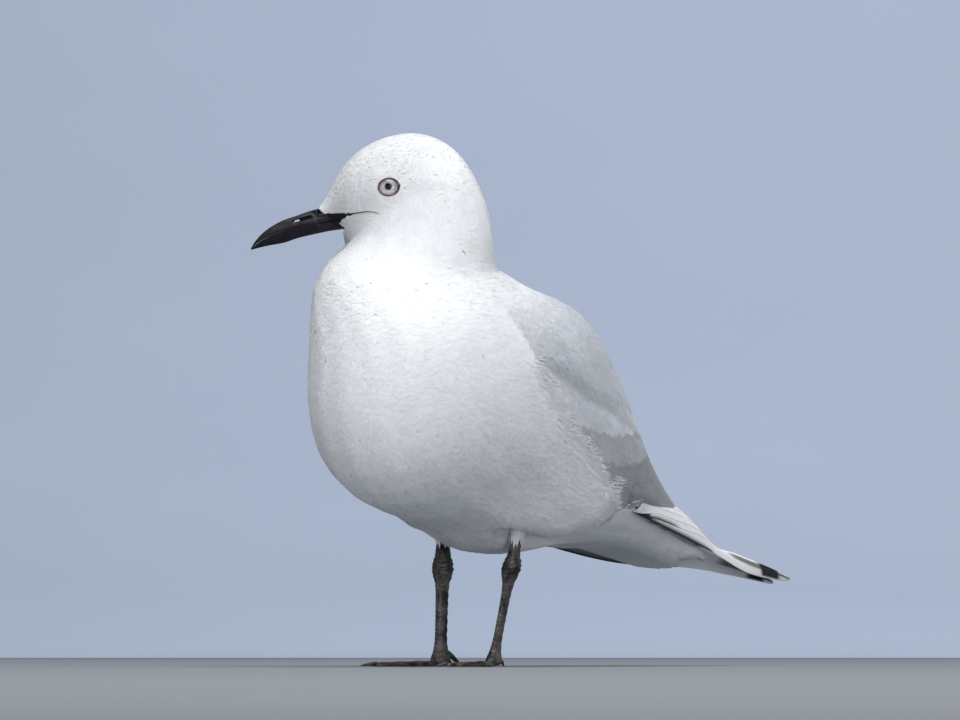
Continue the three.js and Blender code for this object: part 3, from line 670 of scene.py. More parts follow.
def past_face_line(ahead, height):
    """How far places on the face are inside the line of the bill's root, in mm."""
    below = np.minimum(FACE_TOP - height, ahead - np.interp(height, *FACE_LINE))
    return np.maximum(below, ahead - FACE_FRONT)


def on_bill(points):
    """How far points are past the line where the feathers of the face end, in mm."""
    offset = points - NECK_AXIS
    return past_face_line(offset @ AHEAD / MM, offset[..., 2] / MM)


def skin():
    """The measured body moved in by the coat's depth, sunk at the eyes and under the bill. It
    is unwrapped as a sheet of v across and u down, with a strip of triangles at each end."""
    rows, columns = SKIN_ROWS, SKIN_COLUMNS
    u = np.interp(np.linspace(0, 1, rows), [0, 0.42, 1], [0, 0.27, 1])
    u, v = np.meshgrid(u, np.linspace(0, 1, columns, endpoint=False), indexing="ij")
    outer = BODY.place(u, v)
    depth = coat_depth(u) + UNDER_BILL * ramp(-0.2, 0.5, on_bill(outer)) * ramp(0.2, 0.1, u)
    for side in SIDES:
        distance, ahead = off_eye(outer, side)
        depth += IN_SOCKET * (1 - ramp(SOCKET * 0.9, SOCKET * 1.15, distance)) * ahead
    depth += AT_TAIL * ramp(0.96, 1.0, u)
    points, faces = tube(BODY.place(u, v, -depth))
    tint = np.vstack([plumage(u, v).reshape(-1, 3), WHITE, WHITE])
    i, j = (index.ravel() for index in np.indices((rows - 1, columns)))
    k, down = np.arange(columns), u[:, 0]
    across = np.stack([j, j + 1, j + 1, j], -1) / columns
    unwrap = [np.stack([across, np.stack([down[i], down[i], down[i + 1], down[i + 1]], -1)], -1)]
    for end in (0.0, 1.0):
        across = np.stack([k, k + 1, k], -1) / columns
        unwrap.append(np.stack([across, np.full((columns, 3), end)], -1))
    unwrap = np.concatenate([part.reshape(-1, 2) for part in unwrap])
    flesh = FLESH + ["thigh_left", "thigh_right"]
    piece("skin", SKIN, points, faces, tint, {"OFBake": unwrap}, flesh)


def skin_material():
    """Downy skin in the plumage's own colours, with a fine grain."""
    made = Material("downy skin", Roughness=0.85, Sheen_Weight=0.1, Specular_IOR_Level=0.2)
    tint = made.tint()
    grain = made.noise(made.where(), 1400.0, 5.0)
    made.set(Base_Color=made.scaled(tint, made.spread(grain, 0.2, 0.8, 0.90, 1.0)))
    made.bump(grain, 0.2 * MM)
    return made.made


SKIN = skin_material()

# ------------------------------------------------------------------ feathers over the body

PATCH = 0.003                    # width of a feather's patch on the unwrap
TIGHT = 0.13                     # least length in metres that a unit of u stands for
MOST = 190_000                   # triangles in one piece of the coat


def blades(u, v, along, across, length, half_width, heading, root, tip, camber=0.0):
    """Feathers on the body's surface, as an array (feather, row, column, xyz).
    A feather goes from its root (u, v) along the surface in short steps, turned by its heading
    from the lie of the coat. Its rows are at the shares `along` of its length, and its columns
    at the shares `across` of its half width. It rises from the height root to the height tip
    quickly at first, and its middle stands above its edges by the camber."""
    axis = (slice(None), None, None)
    stride = np.maximum(np.linalg.norm(BODY.read(BODY.along, u, v), axis=-1), TIGHT)[axis]
    width = np.linalg.norm(BODY.read(BODY.around, u, v), axis=-1)[axis]
    ahead = along * length[axis]
    aside = across * half_width[axis]
    cos, sin = np.cos(heading)[axis], np.sin(heading)[axis]
    at_u = u[axis] + (ahead * cos - aside * sin) / stride
    at_v = v[axis] + (ahead * sin + aside * cos) / width
    height = root[axis] + (tip - root)[axis] * (1 - (1 - along) ** 3) - camber * across**2
    past_tail = BODY.read(BODY.along, at_u, at_v) * np.maximum(at_u - 1, 0)[..., None]
    return BODY.place(at_u, at_v, height) + past_tail


def feather_uvs(u, v, rows, columns):
    """UVs of the feathers: the place on the unwrap with a small patch, and the feather's own."""
    y, x = np.meshgrid(np.linspace(0, 1, rows), np.linspace(0, 1, columns), indexing="ij")
    own = np.broadcast_to(np.stack([x, y], -1), (len(u), rows, columns, 2))
    place = np.stack([np.clip(v % 1, PATCH, 1 - PATCH), np.clip(u, PATCH, 1 - PATCH)], -1)
    return {"OFBake": place[:, None, None] + (own - 0.5) * PATCH, "vane": own}


def coat(name, material, points, tint, u, v, smooth):
    """Feathers joined into as many pieces as keep each one under the limit of triangles. Their
    shading leans by the share smooth from their own normals to those of the body under them."""
    count, rows, columns = points.shape[:3]
    parts = math.ceil(count * 2 * (rows - 1) * (columns - 1) / MOST)
    colours = np.broadcast_to(tint[:, None, None], points.shape)
    own = unit(np.cross(np.gradient(points, axis=2), np.gradient(points, axis=1)))
    under = BODY.read(BODY.normals, u, v)[:, None, None]
    normals = unit(own * (1 - smooth) + under * smooth)
    for number, part in enumerate(np.array_split(np.arange(count), parts)):
        first = (np.arange(len(part)) * rows * columns)[:, None, None]
        faces = (grid_faces(rows, columns)[None] + first).reshape(-1, 4)
        uvs = feather_uvs(u[part], v[part], rows, columns)
        title = f"{name}_{number + 1}" if parts > 1 else name
        piece(title, material, points[part], faces, colours[part], uvs, normals=normals[part])


def scattered(wanted):
    """Roots spread over the body's grid so that each of its cells gets as many as wanted
    (a function of u and v, in feathers to the square metre)."""
    rows, columns = BODY_ROWS, BODY_COLUMNS
    u, v = lattice(rows, columns)
    cell = BODY.area / ((rows - 1) * columns)
    total = np.floor(np.cumsum((wanted(u, v) * cell).ravel()) + chance())
    counts = np.diff(total, prepend=0).astype(int)
    chosen = np.repeat(np.arange(len(counts)), np.maximum(counts, 0))
    jitter = chance((2, len(chosen))) - 0.5
    down = np.clip(u.ravel()[chosen] + jitter[0] / (rows - 1), 0.001, 0.999)
    return down, (v.ravel()[chosen] + jitter[1] / columns) % 1


def round_eyes(u, v, radius):
    """How far the lie of the coat turns at (u, v) to part round the eyes, as water round a post."""
    points = BODY.place(u, v)
    down, side = unit(BODY.read(BODY.along, u, v)), unit(BODY.read(BODY.around, u, v))
    turn = np.zeros(len(u))
    for eye in SIDES:
        _, front, top = eye_axes(eye)
        offset = points - EYES[eye] - RING_MIDDLE[0] * front - RING_MIDDLE[1] * top
        x, y = (offset * down).sum(-1), (offset * side).sum(-1)
        distance, ahead = off_eye(points, eye)
        share = np.minimum(radius**2 / np.maximum(x * x + y * y, 1e-9), 0.95)
        angle = 2 * np.arctan2(y, x)
        bend = np.arctan2(-share * np.sin(angle), 1 - share * np.cos(angle))
        turn += np.where(ahead, bend, 0) * ramp(12 * MM, 8 * MM, distance)
    return turn


def body_feathers():
    """The white coat: thousands of small overlapping tufts, smallest round the bill and eyes.
    They leave the bill, the eyes, the grey of the wings and the tail free."""
    def wanted(u, v):
        spacing = (0.57 + 0.66 * ramp(0.05, 0.32, u)) * MM
        return 1 / (spacing * spacing)

    u, v = scattered(wanted)
    points = BODY.place(u, v)
    keep = (on_bill(points) < 0.10 * normal(len(u))) | (u > 0.2)
    keep &= (greyness(u, v) < 0.5 + 0.25 * normal(len(u))) | (u < 0.37)
    keep &= u < 0.925 + 0.045 * ramp(0.30, 0.42, off_back(v))
    keep &= ~((u > 0.80) & (off_back(v) < 0.27))
    for side in SIDES:
        distance, ahead = off_eye(points, side)
        keep &= ~((distance < 5.1 * MM) & ahead)
    u, v = u[keep], v[keep]
    count = len(u)
    size = (1.9 + 5.3 * ramp(0.04, 0.32, u)) * MM
    length = size * (0.85 + 0.3 * chance(count))
    half = size * (0.17 + 0.05 * chance(count))
    heading = round_eyes(u, v, 5.0 * MM) + 0.13 * normal(count)
    fringe = ramp(0.030, 0.006, off_back(v) - wing_edge(u)) * band(u, 0.38, 0.44, 0.74, 0.80)
    length = length * (1 + fringe * (0.3 + 0.7 * chance(count)))
    half = half * (1 - 0.25 * fringe)
    heading = heading + fringe * (0.30 * to_back(v) + 0.22 * normal(count))
    by_bill = ramp(-1.8, -0.3, on_bill(BODY.place(u, v))) * ramp(0.2, 0.1, u)
    depth = coat_depth(u) * (1 - 0.75 * by_bill)
    rough = 0.015 + 0.05 * ramp(0.42, 0.60, u) * ramp(0.20, 0.28, off_back(v))
    tip = rough * MM * normal(count).clip(-1.5, 2.0)
    along = np.array([0.0, 0.55, 1.0])[:, None] * np.ones(5)
    along[2] = [0.84, 0.98, 0.9, 1.0, 0.82]
    across = np.array([-1, -0.5, 0, 0.5, 1]) * np.array([0.45, 1.0, 0.8])[:, None]
    made = blades(u, v, along, across, length, half, heading, -depth, tip, 0.05 * MM)
    tint = plumage(u, v) * (1 + 0.018 * normal(count))[:, None]
    coat("coat_white", FINE, made, tint, u, v, 0.88)


def wisps():
    """Fine loose tips that stand a little off the coat: over the flank's edges, where they lap
    the wing and the undertail, and thinly over the belly."""
    def wanted(u, v):
        off, past = off_back(v), past_flank(u, v)
        lap = band(off - wing_edge(u), -0.002, 0.002, 0.005, 0.024)
        lap = lap * band(u, 0.38, 0.43, 0.62, 0.655)
        rear = band(past, -0.05, -0.02, -0.006, 0.0) * band(off, 0.21, 0.235, 0.39, 0.42)
        belly = band(u, 0.42, 0.55, 0.62, 0.70) * ramp(0.24, 0.30, off)
        return 1.2e6 * np.maximum(lap, rear) + 0.30e6 * belly

    u, v = scattered(wanted)
    count = len(u)
    beyond = off_back(v) - wing_edge(u)
    edge = ramp(0.038, 0.012, beyond) * ramp(0.72, 0.69, u)
    edge = np.maximum(edge, ramp(-0.05, -0.02, past_flank(u, v)))
    length = (4.2 + 4.6 * chance(count)) * (0.8 + 0.2 * edge) * MM
    half = (0.12 + 0.14 * chance(count)) * MM
    heading = edge * 0.80 * to_back(v) * ramp(0.042, 0.010, beyond) + 0.20 * normal(count)
    lift = (0.10 + edge * (0.10 + 0.40 * chance(count))) * MM
    root = np.full(count, -0.25 * MM)
    along = np.array([0.0, 0.4, 0.75, 1.0])[:, None] * np.ones(3)
    across = np.array([-1, 0, 1]) * np.array([0.6, 1.0, 0.7, 0.15])[:, None]
    made = blades(u, v, along, across, length, half, heading, root, lift, 0.04 * MM)
    # painted shade: the wisps over the undertail are darker, as the coat under them
    white = WHITE * (1 - 0.15 * ramp(0.30, 0.42, off_back(v)) * ramp(0.66, 0.78, u))[:, None]
    tint = white * (1.03 + 0.04 * normal(count))[:, None]
    coat("coat_wisps", FINE, made, tint, u, v, 0.95)


# ------------------------------------------------------------------ feathers of the folded wing

# How far back each group of wing feathers reaches: around from the back, and u of its edge.
COVERTS_END = ([0.0, 0.06, 0.112, 0.188, 0.241, 0.27], [0.665, 0.655, 0.635, 0.592, 0.525, 0.49])
MIDDLE_END = ([0.0, 0.10, 0.156, 0.196, 0.228, 0.27], [0.70, 0.69, 0.672, 0.652, 0.619, 0.57])
WING_END = ([0.0, 0.10, 0.188, 0.235, 0.27], [0.93, 0.895, 0.819, 0.755, 0.72])
SHADES = (1.0, 0.77, 0.54)       # of the three groups
LOCK_SPACING = 1.25 * MM


def wing_shade(u, v):
    """How light the wing is: three groups, each darker than the one before it, a faint band of
    painted shadow under the groove, a band of painted light below it in the first group, and a pale
    group of long feathers by the back."""
    off = off_back(v)
    first, second = np.interp(off, *COVERTS_END), np.interp(off, *MIDDLE_END)
    shade = SHADES[0] + (SHADES[1] - SHADES[0]) * ramp(-0.002, 0.002, u - first)
    shade = shade + (SHADES[2] - SHADES[1]) * ramp(-0.002, 0.002, u - second)
    under = off - groove(u)
    # painted shadow: a faint darker band under the groove, where the shoulder's lobe shades the
    # wing
    shadow = band(under, -0.006, 0.004, 0.006, 0.040) * band(u, 0.38, 0.42, 0.62, 0.66)
    # painted light: a lighter band below the groove in the first group, where light falls on the
    # coverts
    below = ramp(0.002, 0.030, under) * ramp(0.002, -0.002, u - first) * ramp(0.40, 0.46, u)
    shade = shade * (1 - 0.10 * shadow) * (1 + 0.12 * below)
    shade = shade * (1 - 0.13 * ramp(0.17, 0.08, off) * ramp(0.56, 0.48, u))
    pale = bell(off, 0.085, 0.022) * ramp(0.59, 0.61, u) * ramp(0.003, -0.003, u - first)
    return shade * (1 + 0.22 * pale)


def wing_feathers():
    """The grey feathers of the folded wings and the mantle: long soft locks that follow the
    wing, each in the shade of the place of its tip, and shorter where its group ends."""
    def wanted(u, v):
        grey = ramp(0.0, 0.15, greyness(u, v)) * (off_back(v) < wing_edge(u) - 0.001)
        return grey / LOCK_SPACING**2

    u, v = scattered(wanted)
    count = len(u)
    length = (8 + 12 * ramp(0.38, 0.62, u)) * (0.8 + 0.4 * chance(count)) * MM
    half = (1.0 + 0.55 * ramp(0.40, 0.60, u)) * (0.8 + 0.4 * chance(count)) * MM
    stride = np.linalg.norm(BODY.read(BODY.along, u, v), axis=-1)
    tip = u + length / stride
    for ends in (COVERTS_END, MIDDLE_END, WING_END):
        end = np.interp(off_back(v), *ends) + 0.004 * normal(count)
        over = (tip > end) & (u < end - 0.012)
        tip = np.where(over & (tip < end + 0.022), end, tip)
    keep = tip < np.interp(off_back(v), *WING_END) + 0.006
    u, v, half, stride, tip = (value[keep] for value in (u, v, half, stride, tip))
    count = len(u)
    length = (tip - u) * stride
    heading = to_back(v) * (0.02 + 0.05 * normal(count))
    rows = np.array([0.0, 0.25, 0.5, 0.75, 0.92, 1.0])[:, None]
    along = rows - 0.16 * chance((count, 1, 5)) * rows**5
    across = np.array([0.5, 0.85, 1.0, 0.95, 0.72, 0.42])[:, None] * np.linspace(-1, 1, 5)
    lift = 0.02 * MM * normal(count)
    points = blades(u, v, along, across, length, half, heading, lift - 0.9 * MM, lift, 0.03 * MM)
    grey = greyness(tip, v * 0.985)[:, None]
    shade = 1 + (wing_shade(tip, v) - 1) * grey[:, 0]
    shade = shade * (1 + 0.035 * normal(count))
    tint = (WHITE + (GREY - WHITE) * grey) * shade[:, None]
    coat("coat_wings", VANED, points, tint, u, v, 0.93)


# ------------------------------------------------------------------ flight feathers and tail


def slab(surface, normals, thickness):
    """Closed rings round thin blades: over the top across, and back underneath."""
    half = normals * thickness / 2
    top, under = surface + half, surface - half
    return np.concatenate([top, under[..., ::-1, :]], axis=-2)


def edged(count):
    """Places across a thin blade from -1 to 1, with a narrow strip at each edge."""
    return np.r_[-1, np.linspace(-0.985, 0.985, count - 2), 1]


def outward(surface, side):
    """Unit normals of grids (blade, row, column, xyz) that face to one side."""
    normals = unit(np.cross(np.gradient(surface, axis=-2), np.gradient(surface, axis=-3)))
    return normals * np.sign((normals * side).sum(-1, keepdims=True).mean((-3, -2), keepdims=True))


def vane_uvs(s, across):
    """UVs of a closed blade from its shares along and across it, and for its two ends."""
    y, x = np.meshgrid(s, np.r_[across, across[::-1]] / 2 + 0.5, indexing="ij")
    return np.vstack([np.stack([x, y], -1).reshape(-1, 2), [0.5, 0], [0.5, 1]])


# The folded hand's leading edge, upper edge and bulge, from the wing to the tip.
HAND = {
    "left": (
        [
            [32.0, 82, 67.1], [27.8, 115, 59.8], [20.0, 150.5, 53.2], [8.5, 185, 48.2],
            [4.5, 212, 41.4], [2.0, 236, 38.4], [1.2, 252, 37.2],
        ],
        [
            [24, 84, 80], [15, 118, 77], [4.4, 150.5, 70.8], [1.5, 184, 54.8],
            [0.8, 211, 49.3], [1.0, 236, 43.6], [1.2, 252, 39.4],
        ],
        [2.6, 3.4, 3.6, 1.8, 0.8, 0.4, 0.2],
    ),
    "right": (
        [
            [-30, 82, 57.4], [-25, 114, 50.2], [-18.4, 147, 45.1], [-10, 186.5, 43.4],
            [-5, 212, 40.2], [-2.4, 230, 37.6], [-1.4, 242, 35.8],
        ],
        [
            [-20, 84, 80], [-12, 118, 76], [-3.4, 150.5, 70.2], [-1.0, 184, 52.6],
            [-0.8, 212, 46.2], [-0.8, 230, 41.4], [-0.8, 242, 37.6],
        ],
        [3.6, 4.8, 4.6, 1.6, 0.8, 0.4, 0.2],
    ),
}
# Primaries from the longest, below, to the shortest, on top: where each ends along the hand,
# and the lowest and highest share of the hand's depth that it covers.
PRIMARIES = [
    (1.0, 0.0, 1.0), (0.97, 0.02, 0.9), (0.525, 0.10, 1.0), (0.50, 0.22, 1.0),
    (0.465, 0.36, 1.0), (0.42, 0.48, 1.0),
]
LONG = 2                         # how many of them reach past the tail
LINE_END = {"left": (0.48, 0.42), "right": (0.36, 0.33)}    # of the dark leading edge
INK = np.array([0.016, 0.017, 0.02])


def primary_dark(name, k, share, place):
    """How black a primary is: the long ones have a dark leading edge, a grey streak and a black
    patch before their white tips, and the next one on the near side a dark edge."""
    if k < LONG:
        line = ramp(0.12, 0.08, share) * ramp(*LINE_END[name], place)
        streak = band(share, 0.44, 0.50, 0.80, 0.86) * ramp(0.57, 0.63, place)
        patch = band(place, 0.755, 0.772, 0.884, 0.912) * ramp(0.05, 0.14, share)
        return np.maximum(np.maximum(line, 0.80 * streak), patch)
    return ramp(0.15, 0.12, share) * (k == LONG and name == "left")


def primaries(name):
    """Long feathers along the hand's band, each one closed and a little above the one before."""
    lead, upper, camber = HAND[name]
    rows, columns = 56, 13
    s, across = np.linspace(0, 1, rows), edged(columns)
    taper = np.interp(s, [0, 0.88, 0.95, 0.98, 0.993, 1.0], [1, 1, 0.98, 0.90, 0.76, 0.34])
    own = vane_uvs(s, across)
    fold = np.tile(np.repeat([0, 1], columns), rows)
    rings, tints, cells = [], [], []
    for k, (end, low, high) in enumerate(PRIMARIES):
        t, short = s * end, k >= LONG
        narrow = taper * (1 - 0.55 * s**3) if short else taper
        start = ramp(-0.01, 0.14, t)[:, None]
        centre = (low + high) / 2 + 0.14 * short * s[:, None] ** 3
        share = centre + (high - low) / 2 * across[None] * narrow[:, None]
        share = low * start + (share - low) * start
        front, back = bird_place(through(lead, t)), bird_place(through(upper, t))
        points = front[:, None] * (1 - share[..., None]) + back[:, None] * share[..., None]
        out = outward(points, np.array([SIDES[name], 0, 0.2]))
        bulge = through(camber, t) * MM * np.sin(np.pi * np.clip(share, 0, 1))
        points = points + out * (bulge + 0.08 * MM * (k - LONG))[..., None]
        rings.append(slab(points, out, 0.16 * MM))
        dark = primary_dark(name, k, share, np.broadcast_to(t[:, None], share.shape))
        tone = WHITE * (0.93 - 0.02 * k)
        colour = tone + (INK - tone) * dark[..., None]
        tints.append(with_ends(np.concatenate([colour, colour[:, ::-1]], axis=1).reshape(-1, 3)))
        left = (k + 0.08 + 0.42 * (own[:-2, 0] + fold)) / len(PRIMARIES)
        cells.append(with_ends(np.stack([left, 0.02 + 0.96 * own[:-2, 1]], -1)))
    uvs = {"OFBake": np.concatenate(cells), "vane": np.concatenate([own] * len(PRIMARIES))}
    title, shown = f"primary_feathers_{name}", [f"primaries_{name}"]
    points, faces = tubes(np.array(rings))
    piece(title, FLIGHT, points, faces, np.concatenate(tints), uvs, shown)


def tail_feathers():
    """Twelve closed feathers in a narrow fan, the middle pair on top."""
    count, rows, columns = 12, 36, 11
    s = np.linspace(0, 1, rows)[:, None]
    across = edged(columns)
    taper = np.interp(s, [0, 0.2, 0.8, 0.9, 0.95, 0.98, 1], [0.5, 0.85, 1, 0.94, 0.78, 0.52, 0.08])
    rings, tints = [], []
    for k in range(count // 2):
        for side in SIDES.values():
            left = (1.0 + 1.3 * k) * s + 0.8 + 5.4 * across * taper
            back = 118 + (61.5 - 0.34 * k**2) * s - 1.2 * across**2 * s
            height = 69 - 20.0 * s**1.05 - 0.16 * k * (1 + 0.8 * s) - 0.016 * left**2
            surface = bird_place(np.stack(np.broadcast_arrays(side * left, back, height), -1))
            rings.append(slab(surface, outward(surface, UP), 0.3 * MM))
            tints.append(np.tile(WHITE * (0.97 - 0.01 * k), (rows * 2 * columns + 2, 1)))
    own = vane_uvs(s[:, 0], across)
    cells = [own * [0.9 / count, 0.96] + [(k + 0.05) / count, 0.02] for k in range(count)]
    uvs = {"OFBake": np.concatenate(cells), "vane": np.concatenate([own] * count)}
    points, faces = tubes(np.array(rings))
    piece("tail_feathers", FLIGHT, points, faces, np.concatenate(tints), uvs)


# ------------------------------------------------------------------ bill

# The bill in the head's own side view: rows of ahead of the neck's axis and height, in mm.
CULMEN = [
    [30, 198.6], [43.6, 196.0], [52, 193.3], [59.5, 190.6], [66, 186.6], [70.3, 182.2],
    [72.3, 178.9],
]
MOUTH = [
    [22, 193.4], [33, 191.5], [45.6, 189.2], [55.5, 187.4], [62.5, 185.2], [68.8, 181.6],
    [72.2, 178.7],
]
GONYS = [
    [24, 188.0], [36, 186.9], [45.6, 185.0], [52.2, 183.4], [58, 181.5], [65.4, 180.1],
    [71.8, 178.5],
]
BILL_HALF_WIDTHS = [10.6, 7.0, 4.3, 3.1, 2.5, 1.6, 0.4]
NOSTRIL = ((46.9, 192.3), (53.2, 190.5))    # its ends, and its half height
NOSTRIL_HALF = 0.62
NOSTRIL_WINDOW = ((51.6, 191.0), (53.6, 190.5))    # where it is open from side to side
NOSTRIL_GROOVE = ((38.0, 193.6), (62.0, 187.9))
OVER, INSIDE = 49, 15            # points over a half of the bill, and along its hollow floor
GAPE = [(30.0, 193.3), (26.0, 193.8), (23.5, 194.1), (21.3, 194.2), (18.9, 193.9), (17.2, 193.3)]


def from_line(x, y, start, end):
    """Distance of points from a line between two ends."""
    dx, dy = end[0] - start[0], end[1] - start[1]
    share = np.clip(((x - start[0]) * dx + (y - start[1]) * dy) / (dx * dx + dy * dy), 0, 1)
    return np.hypot(x - start[0] - dx * share, y - start[1] - dy * share)


def on_head_side(ahead, height, side):
    """Where a line from the side, in the head's own directions, meets the body: the nearest
    points of the grid, and their normals."""
    face = slice(BODY_ROWS // 3)
    offset = BODY.points[face] - NECK_AXIS
    x, y = offset @ AHEAD - ahead[:, None, None] * MM, offset[..., 2] - height[:, None, None] * MM
    off = np.hypot(x, y) + 10.0 * ((offset @ ACROSS_HEAD) * SIDES[side] < 0)
    off = off.reshape(len(ahead), -1)
    nearest = off.argsort(1)[:, :6]
    weight = 1 / (np.take_along_axis(off, nearest, 1) + 0.2 * MM)
    weight = (weight / weight.sum(1, keepdims=True))[..., None]
    found, normals = (
        (grid[face].reshape(-1, 3)[nearest] * weight).sum(1) for grid in (BODY.points, BODY.normals)
    )
    return found, unit(normals)


def cheek(ahead, height):
    """Half width of the face, in mm, by ahead of the neck's axis and height, read from a table
    at whole millimetres."""
    first, low = 18, 174
    x, y = np.meshgrid(np.arange(first, 50), np.arange(low, 204), indexing="ij")
    found, _ = on_head_side(x.ravel().astype(float), y.ravel().astype(float), "left")
    table = ((found - NECK_AXIS) @ ACROSS_HEAD / MM).reshape(x.shape)
    a, h = np.clip(ahead - first, 0, len(x) - 1.01), np.clip(height - low, 0, x.shape[1] - 1.01)
    return between(table, a, h)


def mandible(ridge, width_share, gap):
    """Rings round half of the bill: over the ridge from one cutting edge to the other as a
    flattened half oval, and back along a hollow floor inside the mouth."""
    t = np.linspace(0, 1, 110)
    top, mouth = through(ridge, t), through(MOUTH, t)
    half = through(BILL_HALF_WIDTHS, t)[:, 0] * width_share
    root = ramp(47.0, 34.0, mouth[:, 0])
    half += (cheek(mouth[:, 0], np.full(len(t), 191.5)) + 0.2 - half) * root
    toward = np.sign(top[:, 1] - mouth[:, 1]).mean()
    mouth = mouth + np.stack([0 * t, toward * gap * ramp(1.0, 0.9, t)], -1)
    angle = np.linspace(-np.pi / 2, np.pi / 2, OVER)
    back = np.linspace(1, -1, INSIDE + 2)[1:-1]
    rise = np.r_[np.cos(angle) ** 1.15, 0.34 * (1 - back**2)]
    aside = np.r_[np.sign(angle) * np.abs(np.sin(angle)) ** 1.05, 0.93 * back]
    ahead = mouth[:, None, 0] + (top - mouth)[:, None, 0] * rise
    height = mouth[:, None, 1] + (top - mouth)[:, None, 1] * rise
    left = half[:, None] * aside
    sunk = 0.15 + 1.8 * ramp(0.1, -0.7, past_face_line(ahead, height))
    sunk = sunk + 1.4 * ramp(31.0, 26.0, ahead)
    limit = np.maximum(cheek(ahead, height) - sunk, 0) + 30 * ramp(43.2, 44.6, ahead)
    return ahead, np.sign(left) * np.minimum(np.abs(left), limit), height


def bill():
    """Both halves, with slit nostrils, a shallow groove before them and a swell at the gonys."""
    for name, ridge, share, gap in (("upper", CULMEN, 1.0, 0.10), ("lower", GONYS, 0.93, 0.12)):
        ahead, left, height = mandible(ridge, share, gap)
        if name == "upper":
            outside = (np.abs(left) > 0.8) & (np.arange(OVER + INSIDE) < OVER)
            distance = from_line(ahead, height, *NOSTRIL)
            front = from_line(ahead, height, *NOSTRIL_WINDOW)
            by_groove = from_line(ahead, height, *NOSTRIL_GROOVE)
            sunk = 1.5 * (1 - ramp(0.55, 1.25, distance / NOSTRIL_HALF))
            sunk = sunk + 3.5 * (1 - ramp(0.45, 0.75, front))
            sunk = sunk + 0.16 * (1 - ramp(0.2, 1.5, by_groove)) * ramp(66, 56, ahead)
            left = left - np.sign(left) * np.minimum(sunk * outside, np.abs(left))
            hole = outside & (front < 0.55)
        else:
            hole = np.zeros(left.shape, bool)
            left = left * (1 + 0.05 * np.sin(np.clip((ahead - 46) / 16, 0, 1) * np.pi))
        points, faces = tube(head_place(ahead * MM, left * MM, height * MM))
        open_through = np.r_[((np.abs(left) < 0.02) & hole).ravel(), False, False]
        faces[0] = faces[0][~open_through[faces[0]].all(1)]
        piece(f"bill_{name}_horn", BILL, points, faces, stands_for=[f"bill_{name}"])


def gape():
    """The dark corner of the mouth: a thin tapered cord half sunk in the feathers of each cheek."""
    t = np.linspace(0, 1, 60)
    line = through(GAPE, t)
    for side in SIDES:
        found, normals = on_head_side(line[:, 0], line[:, 1], side)
        centre = head_place(line[:, 0] * MM, (found - NECK_AXIS) @ ACROSS_HEAD, line[:, 1] * MM)
        centre = centre + normals * 0.10 * MM
        across = unit(np.cross(normals, unit(np.gradient(centre, axis=0))))
        angle = turns(12)[None, :, None]
        size = (0.25 * (1 - 0.75 * t) * ramp(0.0, 0.06, t))[:, None, None] * MM + 0.02 * MM
        way = np.cos(angle) * across[:, None] + 0.75 * np.sin(angle) * normals[:, None]
        points, faces = tube(centre[:, None] + size * way)
        piece(f"gape_{side}", GAPE_SKIN, points, faces)


def bill_material():
    """Black horn with stains, scuffs and growth lines."""
    made = Material(
        "black horn of the bill", Roughness=0.4, Specular_IOR_Level=0.24,
        Coat_Weight=0.03, Coat_Roughness=0.2,
    )
    where = made.where()
    stains = made.spread(made.noise(where, 260.0, 4.0), 0.3, 0.7)
    made.set(Base_Color=made.shades(stains, (0.005, 0.005, 0.007), (0.013, 0.011, 0.017)))
    scuffs = made.noise(where, 1500.0, 6.0)
    made.set(Roughness=made.spread(scuffs, 0.3, 0.75, 0.36, 0.55))
    lines = made.add("TexWave", where, 420.0, 5.0, 3.0, 1.5, bands_direction="Y")
    made.bump(made.plus(made.times(lines, 0.4), scuffs), 0.06 * MM, 0.8)
    return made.made


def gape_material():
    """Dark skin with a fine grain."""
    made = Material("dark skin of the gape", Roughness=0.5, Specular_IOR_Level=0.3)
    grain = made.noise(made.where(), 900.0)
    shade = made.spread(grain, 0.3, 0.7)
    made.set(Base_Color=made.shades(shade, (0.018, 0.012, 0.013), (0.036, 0.024, 0.026)))
    made.bump(grain, 0.08 * MM)
    return made.made


BILL, GAPE_SKIN = bill_material(), gape_material()

# ------------------------------------------------------------------ eyes

EYE_RADIUS = 6.0 * MM
EYE_OUT = 0.45 * MM              # how far the eyeball stands out of the measured head
IRIS, PUPIL = 4.0 * MM, 1.55 * MM
IRIS_PLANE = math.sqrt(EYE_RADIUS**2 - IRIS**2)    # of its rim, in front of the eye's middle
DOME = 4.9 * MM                  # radius of the cornea
IRIS_PALE, IRIS_RIM = np.array([0.80, 0.79, 0.84]), [0.10, 0.07, 0.065]
LID_RED = np.array([0.085, 0.016, 0.013])
CORNERS = (-0.22, 2.92)          # where the lids meet, as angles from ahead over the top


def eye_place(side, out, ahead, up):
    """Points from an eye's middle along its axis and across it, over the head's surface."""
    axis, front, top = eye_axes(side)
    place = EYES[side] + (out + EYE_OUT)[..., None] * axis
    return place + ahead[..., None] * front + up[..., None] * top


